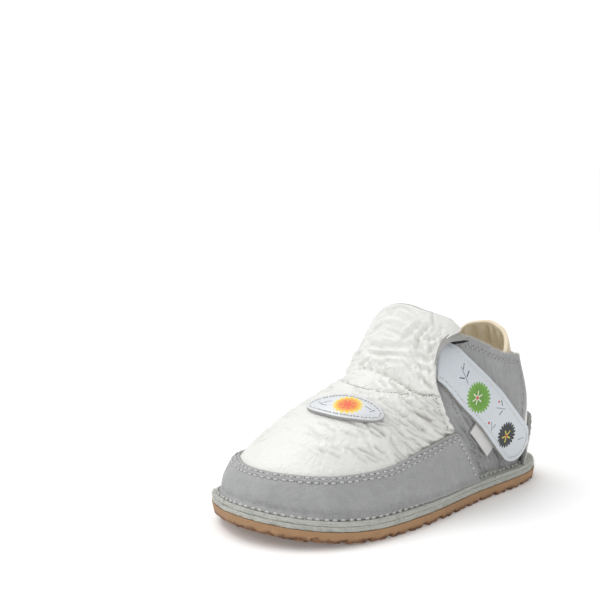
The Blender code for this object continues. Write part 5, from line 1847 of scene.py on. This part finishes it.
def heel_patch_grid(lines=120, rows=30):
    """Places on the white heel patch, high at the back and low at both rounded ends."""
    reach = HEEL_PATCH_AROUND
    around = reach * np.sin(np.linspace(-0.5, 0.5, lines) * np.pi)
    foot = wall(around, np.zeros_like(around))[:, 2]
    share = np.abs(around) / reach
    rise = 1 - smooth(0.62, 0.86, share)
    tip = np.sqrt(np.clip(1 - share**8, 0.12, 1))
    tall = (HEEL_PATCH_END_HEIGHT + (HEEL_PATCH_HEIGHT - HEEL_PATCH_END_HEIGHT) * rise) * tip
    low = up_at_height(around, foot + 0.9)
    high = up_at_height(around, foot + 1.3 + tall)
    return wall_grid(around, low, high, np.linspace(0, 1, rows))


def heel_patch_out(around):
    """The patch lies on the heel and curls away from it at its two ends."""
    share = np.abs(around) / HEEL_PATCH_AROUND
    return GAP + HEEL_PATCH_THICKNESS + 2.2 * smooth(0.84, 1.0, share) ** 1.5


def make_heel_patch():
    """The white patch over the lower heel, finely wrinkled."""
    around, up = heel_patch_grid()
    points = wall(around, up)
    out = heel_patch_out(around)
    relief = 0.12 * noise(points, 6.0, 141) - 0.10 * wrinkles(points, 5.0, 1.6, 0.3, 142)
    outer = skin(around, up, out + np.minimum(relief, 0.2))
    inner = skin(around, up, out - HEEL_PATCH_THICKNESS)
    sheet_piece("heel_patch_leather", outer, inner, [white_leather, raw_white, raw_grey],
                ["heel_patch"])


def star(turn, petals, deep, power=1.0):
    """Outline of a star or flower over the turn: its reach swings with each petal."""
    swing = np.abs(np.cos(turn * petals * np.pi)) ** power
    return 1 - deep * (1 - swing)


def print_shapes(name, surface, shapes, look, lift):
    """Flat printed shapes laid on a surface. Each is (x, y, size_x, size_y, degrees,
    outline over the turn or None for an oval, grid lines); a shape is a thin film whose
    edge reaches into the leather."""
    all_points, all_faces, all_which, tones, total = [], [], [], [], 0
    for x, y, wide, high, degrees, edge, grid in shapes:
        reach, turn = square_to_disc(grid)
        far = edge(turn) if edge else 1.0
        flat_x = wide / 2 * reach * far * np.cos(turn * 2 * np.pi)
        flat_y = high / 2 * reach * far * np.sin(turn * 2 * np.pi)
        angle = np.radians(degrees)
        at_x = x + flat_x * np.cos(angle) - flat_y * np.sin(angle)
        at_y = y + flat_x * np.sin(angle) + flat_y * np.cos(angle)
        top, facing = surface(at_x, at_y, lift)
        points, faces, _ = sheet_mesh(top, top - facing * 0.10, bulge=0.0)
        all_points.append(points)
        all_faces.append(faces + total)
        flat = (reach * far).ravel()
        rest = len(points) - 2 * flat.size
        tones.append(np.concatenate([flat, flat, np.ones(rest)]))
        total += len(points)
    return write_piece(name, np.concatenate(all_points), np.concatenate(all_faces), [look],
                       (), None, {"tone": np.concatenate(tones)})


def leaf(turn):
    """Outline of a leaf: full in the middle, pointed at both ends."""
    return 0.30 + 0.70 * np.abs(np.cos(turn * 2 * np.pi)) ** 3


def ring_of(count, x, y, reach, wide, high, offset=0.0, grid=10):
    """Leaves set round a middle, each pointing outwards."""
    turns = np.arange(count) / count * 360 + offset
    return [(x + reach * np.cos(np.radians(turn)), y + reach * np.sin(np.radians(turn)),
             wide, high, turn, leaf, grid) for turn in turns]


PATCH_SPRIGS = (
    # x, y, wide, high, degrees, outline, grid lines
    (-6.4, 0.7, 3.4, 0.55, 25, leaf, 10),
    (-8.7, -0.2, 2.6, 0.50, -35, leaf, 10),
    (-6.9, -1.4, 2.4, 0.50, -10, leaf, 10),
    (8.4, 1.0, 2.8, 0.55, -20, leaf, 10),
    (10.1, 0.1, 2.2, 0.50, 50, leaf, 10),
)
BERRIES = (
    # x from the strap's rounded end, y across it, and the rest as above
    (41.4, -1.6, 1.2, 1.2, 0, None, 8),
    (16.6, -1.7, 1.1, 1.1, 0, None, 8),
    (30.2, -4.7, 1.0, 1.0, 0, None, 8),
    (31.6, 3.9, 0.8, 0.8, 0, None, 8),
)
STALKS = (
    # x from the strap's rounded end, y across it, and the rest as above
    (52.0, 1.0, 8.0, 0.50, 24, leaf, 12),
    (51.0, 2.4, 2.8, 1.10, 80, leaf, 10),
    (52.6, -0.6, 2.8, 1.10, -30, leaf, 10),
    (54.4, 3.4, 2.6, 1.00, 65, leaf, 10),
    (28.6, 3.0, 6.4, 0.50, -30, leaf, 12),
    (27.4, 1.9, 2.4, 1.00, -85, leaf, 10),
    (29.8, 4.6, 2.4, 1.00, 30, leaf, 10),
    (27.6, -4.6, 3.8, 0.55, 35, leaf, 10),
    (26.4, -3.6, 2.0, 0.90, 95, leaf, 10),
    (8.4, 2.4, 3.4, 0.60, -50, leaf, 10),
)
# How far in mm the first ink lies above the leather, and the inks printed over it
FIRST_INK = 0.030
SECOND_INK = 0.055
THIRD_INK = 0.080


def make_prints():
    """Generic motifs: a sun flower on the patch, and on the strap a green burr with a
    pale blossom in it, a dark burr with a yellow and red one, small dark stalks and, at
    the inner end, a red blossom."""
    sun = (1.4, 0.1, 10.8, 9.4, 8, lambda turn: star(turn, 17, 0.30, 0.6), 72)
    green = (41.0, -1.2, 12.6, 11.2, 0, lambda turn: star(turn, 25, 0.27, 0.6), 84)
    dark = (17.0, -1.5, 11.0, 10.0, 5, lambda turn: star(turn, 21, 0.30, 0.6), 78)
    seeds = ring_of(7, 1.4, 0.1, 2.0, 1.3, 0.5, 12, 8)
    pale = ring_of(6, 41.4, -1.6, 1.5, 2.4, 1.5)
    yellow = ring_of(5, 16.6, -1.7, 1.5, 2.3, 1.4, 20)
    inner = ring_of(9, strap_length - 14.0, 0.6, 2.9, 4.4, 2.2, 15, 12)
    for name, surface, shapes, look, lift in (
            ("print_sun", patch_top, [sun], ink_sun, FIRST_INK),
            ("print_sun_seeds", patch_top, seeds, ink_yellow, SECOND_INK),
            ("print_patch_sprigs", patch_top, PATCH_SPRIGS, ink_dark, FIRST_INK),
            ("print_green_burr", strap_face, [green], ink_green, FIRST_INK),
            ("print_blossom", strap_face, pale, ink_pale, SECOND_INK),
            ("print_dark_burr", strap_face, [dark], ink_dark, FIRST_INK),
            ("print_yellow_blossom", strap_face, yellow, ink_yellow, SECOND_INK),
            ("print_berries", strap_face, BERRIES, ink_red, THIRD_INK),
            ("print_stalks", strap_face, STALKS, ink_dark, FIRST_INK),
            ("print_inner_blossom", strap_face, inner, ink_red, FIRST_INK)):
        print_shapes(name, surface, shapes, look, lift)


# Seams


def grid_line(around, up, outer, at_around, at_up):
    """Points and normals along a line of places, read from a piece's own mesh grid."""
    column = np.interp(at_around, around, np.arange(len(around)))
    left = np.clip(np.floor(column).astype(int), 0, len(around) - 2)
    share = column - left
    rows = np.arange(up.shape[1])
    place = []
    for k, part, height in zip(left, share, at_up):
        line = up[k] * (1 - part) + up[k + 1] * part
        row = np.clip(np.interp(height, line, rows), 0, len(rows) - 1.001)
        r = int(row)
        corner = outer[k:k + 2, r:r + 2]
        low = corner[:, 0] * (1 - (row - r)) + corner[:, 1] * (row - r)
        place.append(low[0] * (1 - part) + low[1] * part)
    place = np.array(place)
    return place, outward_normal(at_around, at_up)


def shifted_up(around, up, distance):
    """Places a distance in mm below given places on the wall."""
    climb = length_of(wall(around, up + 0.01) - wall(around, up - 0.01))[..., 0] / 0.02
    return up - distance / climb


def rand_top_seam(rand):
    """Two rows along the rand's upper edge."""
    around = np.linspace(EDGE_AROUND + 0.004, 1 - EDGE_AROUND - 0.004, 300)
    _, high = rand_limits(around)
    return [(*grid_line(*rand, around, shifted_up(around, high, down)), shift)
            for down, shift in ((1.1, 0.0), (2.7, 0.5))]


def flange_seam():
    """One row round the flange, nearer to its lip beside the rand."""
    places = np.linspace(0, 1, 900)
    inset = 3.3 - 1.25 * smooth(EDGE_AROUND - 0.008, EDGE_AROUND + 0.008, side_of(places))
    turned = outline(places, inset)[0]
    height = flange_top + spring(turned[:, 1]) + 0.16
    upright = np.tile([0.0, 0.0, 1.0], (len(places), 1))
    return [(np.column_stack([turned, height]), upright, 0.0)]


def side_seams(piece, inset, low, high, count):
    """A row inset mm from each of a piece's two side edges, from low to high there."""
    lines = []
    for side in (0, 1):
        up = np.linspace(low[side], high[side], count)
        step = np.array([around_step(inset, u, EDGE_AROUND) for u in up])
        at = EDGE_AROUND + step if side == 0 else 1 - EDGE_AROUND - step
        lines.append((*grid_line(*piece, at, up), 0.0))
    return lines


def gathered_seams(vamp):
    """The row of the gathered seam itself, and a second one below it in front."""
    around = np.linspace(EDGE_AROUND + 0.012, 1 - EDGE_AROUND - 0.012, 300)
    seam = skin(around, np.full_like(around, 0.990), -0.42)
    first = (seam, outward_normal(around, np.ones_like(around)), 0.0)
    table = np.array(SECOND_GATHER)
    around = np.linspace(table[0, 0], table[-1, 0], 200)
    up = open_spline(table[:, 0], table[:, 1])(around)[:, 0]
    return [first, (*grid_line(*vamp, around, up), 0.4)]


def collar_seams(lateral, medial):
    """Two rows along each quarter's collar."""
    start, end = BACK_SEAM_AROUND + 0.006, EDGE_AROUND - 0.012
    lines = []
    for quarter, first, last in ((lateral, start, end), (medial, 1 - end, 1 - start)):
        around = np.linspace(first, last, 120)
        high = collar_up(around, collar_dip(around))
        for down, shift in ((2.4, 0.0), (3.5, 0.5)):
            lines.append((*grid_line(*quarter, around, shifted_up(around, high, down)), shift))
    return lines


def quarter_edge_seams(lateral, medial):
    """A row beside each quarter's rear edge, and one beside its front edge."""
    lines = []
    for quarter, on_outer_side in ((lateral, True), (medial, False)):
        for place, low, high, count in ((BACK_SEAM_AROUND + 0.010, 0.12, 1.86, 140),
                                        (EDGE_AROUND - 0.016, 0.10, 1.30, 100)):
            up = np.linspace(low, high, count)
            at = np.full_like(up, place if on_outer_side else 1 - place)
            lines.append((*grid_line(*quarter, at, up), 0.0))
    return lines


def strap_seam():
    """One row along both edges of the strap and round its end."""
    end = strap_line(0.0)[2]
    inset = 1.7
    straight = np.linspace(end + STRAP_CUT, strap_length - 2.0, 260)
    bow = np.linspace(0, np.pi, 60)[1:-1]
    reach = end - inset
    distance = np.concatenate([straight[::-1], end + STRAP_CUT - reach * np.sin(bow), straight])
    half = strap_line(straight)[:, 2] - inset
    across = np.concatenate([half[::-1], reach * np.cos(bow), -half])
    return [(*strap_face(distance, across, -0.06), 0.0)]


def vamp_patch_seam():
    """One row round the oval patch."""
    turn = np.linspace(0, 2 * np.pi, 200)
    x = (PATCH_LENGTH / 2 - 1.3) * np.cos(turn)
    y = (PATCH_WIDTH / 2 - 1.2) * np.sin(turn)
    return [(*patch_top(x, y, -0.05), 0.0)]


def heel_patch_seam():
    """One row along the heel patch's upper edge."""
    around, up = heel_patch_grid(160, 12)
    around, up = around[4:-4, -1] * 0.965, up[4:-4, -1] - 0.035
    points = skin(around, up, heel_patch_out(around) + 0.02)
    return [(points, outward_normal(around, up), 0.0)]


def make_seams(vamp, rand, lateral, medial):
    """The thread of each seam and the painted shade of its needle holes, each as one joined mesh."""
    low, top = rand_limits(np.array([EDGE_AROUND, 1 - EDGE_AROUND]))
    upper, printed_part = "upper_leather", "printed_leather"
    for name, lines, thread, slot, pitch, share, radius, sink in (
            # name, rows, thread, slot, pitch, share under thread, radius, depth of its ends
            ("rand_top", rand_top_seam(rand), pale_thread, "grey_leather", 2.8, 0.66, 0.28, 0.14),
            ("flange", flange_seam(), pale_thread, "grey_felt_edge", 2.9, 0.66, 0.40, 0.30),
            ("vamp_edge", side_seams(vamp, 3.1, top + 0.03, (0.97, 0.97), 80),
             white_thread, upper, 2.4, 0.66, 0.24, 0.14),
            ("rand_ends", side_seams(rand, 2.0, low + 0.05, top - 0.04, 40),
             white_thread, "grey_leather", 2.4, 0.62, 0.24, 0.14),
            ("gathered_seam", gathered_seams(vamp), white_thread, upper, 2.1, 0.55, 0.22, 0.14),
            ("collar", collar_seams(lateral, medial), grey_thread, upper, 2.3, 0.60, 0.22, 0.14),
            ("quarter_edges", quarter_edge_seams(lateral, medial),
             grey_thread, upper, 2.5, 0.62, 0.22, 0.14),
            ("strap", strap_seam(), white_thread, printed_part, 2.6, 0.60, 0.23, 0.14),
            ("vamp_patch", vamp_patch_seam(), white_thread, printed_part, 2.5, 0.60, 0.22, 0.14),
            ("heel_patch", heel_patch_seam(), white_thread, "white_leather", 2.5, 0.60, 0.22, 0.14)):
        (points, faces), (hole_points, hole_faces) = stitches(lines, pitch, share, radius, sink)
        write_piece("stitches_" + name, points, faces, [thread], ())
        write_piece("stitches_%s_holes" % name, hole_points, hole_faces, [needle_hole_shade], ())


def make_fibres(lateral, medial):
    """Loose fibres along the collar, round the raw edges of flange and midsole, and on the
    strap's lower edge."""
    roots, aims = [], []
    for _, _, outer in (lateral, medial):
        edge = outer[:, -1]
        aim = unit(outer[:, -1] - outer[:, -2])
        roots.append(np.repeat(edge, 8, axis=0))
        aims.append(np.repeat(aim, 8, axis=0))
    roots, aims = np.concatenate(roots), np.concatenate(aims)
    jitter = np.random.default_rng(5).uniform(-0.7, 0.1, (len(roots), 1))
    normal = unit(roots - np.array([0.0, 30.0, 0.0]) - np.array([0, 0, 1]) * roots[:, 2:3])
    fibres("collar_fibres", roots + normal * jitter, aims, loose_fibre,
           1.0, 0.09, 0.7, 7)
    around = np.linspace(0, 1, 1100, endpoint=False)
    edge, outward = outline(around, FLANGE_INSET)
    heights = np.random.default_rng(9).uniform(midsole_bottom + 0.2, flange_top, len(around))
    points = np.column_stack([edge, heights + spring(edge[:, 1])])
    aim = np.column_stack([outward, np.full(len(around), 0.25)])
    fibres("flange_fibres", points, unit(aim), loose_fibre, 0.95, 0.10, 0.9,
           11, per_point=3)
    distance = np.linspace(2, 62, 500)
    half = strap_line(distance)[:, 2] + 0.1
    points, facing = strap_face(distance, -half, -0.9)
    inner, _ = strap_face(distance, -half + 0.5, -0.9)
    fibres("strap_fibres", points, unit(points - inner), loose_fibre, 0.6,
           0.07, 0.8, 13, per_point=2)


# The shoe


make_outsole()
make_layer("midsole_felt", FLANGE_INSET - 0.05, midsole_bottom - 0.15, MIDSOLE_THICKNESS + 0.3,
           [felt, felt, felt], ["midsole"], 0.16)
make_layer("insole_leather", feather_inset + WALL + 3 * GAP, flange_bottom, INSOLE_THICKNESS,
           [beige, beige, beige], ["insole"], 0.0, 70)
make_flange()
vamp_grid = make_vamp()
make_tongue()
lateral_grid = make_quarter("quarter_outer", 1)
medial_grid = make_quarter("quarter_inner", -1)
make_back_strip()
rand_grid = make_rand()
make_lining()
make_strap()
make_loop_pad()
make_label()
make_vamp_patch()
make_heel_patch()
make_prints()
make_seams(vamp_grid, rand_grid, lateral_grid, medial_grid)
make_fibres(lateral_grid, medial_grid)


# Floor, light and camera


def make_floor():
    """A plain pale floor, with a little light of its own so that it stays white far off."""
    half = FLOOR_REACH
    mesh = bpy.data.meshes.new("floor")
    mesh.from_pydata([(-half, -half, 0), (half, -half, 0), (half, half, 0), (-half, half, 0)],
                     [], [(0, 1, 2, 3)])
    floor = bpy.data.objects.new("floor", mesh)
    bpy.context.scene.collection.objects.link(floor)
    look = bpy.data.materials.new("pale_floor")
    look.use_nodes = True
    shader = look.node_tree.nodes["Principled BSDF"]
    shader.inputs["Base Color"].default_value = (0.93, 0.93, 0.93, 1)
    shader.inputs["Roughness"].default_value = 0.6
    shader.inputs["Emission Color"].default_value = (1, 1, 1, 1)
    shader.inputs["Emission Strength"].default_value = FLOOR_GLOW
    mesh.materials.append(look)


def make_light():
    """A broad soft sun from above and a little to the left, a softbox for the gloss, a
    weaker lamp on the outer side, and white all round."""
    sun = bpy.data.objects.new("soft_sun", bpy.data.lights.new("soft_sun", "SUN"))
    sun.data.energy = SUN_STRENGTH
    sun.data.angle = np.radians(SUN_WIDTH)
    sun.rotation_euler = Vector(SUN_AIM).to_track_quat("-Z", "Y").to_euler()
    bpy.context.scene.collection.objects.link(sun)
    for name, place, energy in LAMPS:
        box = bpy.data.objects.new(name, bpy.data.lights.new(name, "AREA"))
        box.data.energy = energy
        box.data.size = LAMP_SIZE
        box.location = place
        aim = Vector((0, 0, 0.03)) - box.location
        box.rotation_euler = aim.to_track_quat("-Z", "Y").to_euler()
        bpy.context.scene.collection.objects.link(box)
    world = bpy.data.worlds.new("white_room")
    world.use_nodes = True
    tree = world.node_tree
    back = tree.nodes["Background"]
    back.inputs["Color"].default_value = (1, 1, 1, 1)
    path = tree.nodes.new("ShaderNodeLightPath")
    strength = node(tree, "ShaderNodeMapRange", {"Value": path.outputs["Is Camera Ray"],
                    "To Min": ROOM_ON_SHOE, "To Max": ROOM_IN_PICTURE}).outputs[0]
    tree.links.new(strength, back.inputs["Strength"])
    bpy.context.scene.world = world
    bpy.context.scene.view_settings.view_transform = "Standard"


def make_camera():
    """The camera at the photograph's angle to the shoe."""
    azimuth, elevation = np.radians(CAMERA_AZIMUTH), np.radians(CAMERA_ELEVATION)
    back = Vector((np.sin(azimuth) * np.cos(elevation), -np.cos(azimuth) * np.cos(elevation),
                   np.sin(elevation)))
    camera = bpy.data.objects.new("camera", bpy.data.cameras.new("camera"))
    camera.location = Vector(CAMERA_TARGET) + back * CAMERA_DISTANCE
    camera.rotation_euler = back.to_track_quat("Z", "Y").to_euler()
    camera.data.lens = CAMERA_LENS
    camera.data.sensor_width = 36.0
    camera.data.shift_x, camera.data.shift_y = CAMERA_SHIFT
    camera.data.clip_start = 0.01
    bpy.context.scene.collection.objects.link(camera)
    bpy.context.scene.camera = camera


make_floor()
make_light()
make_camera()
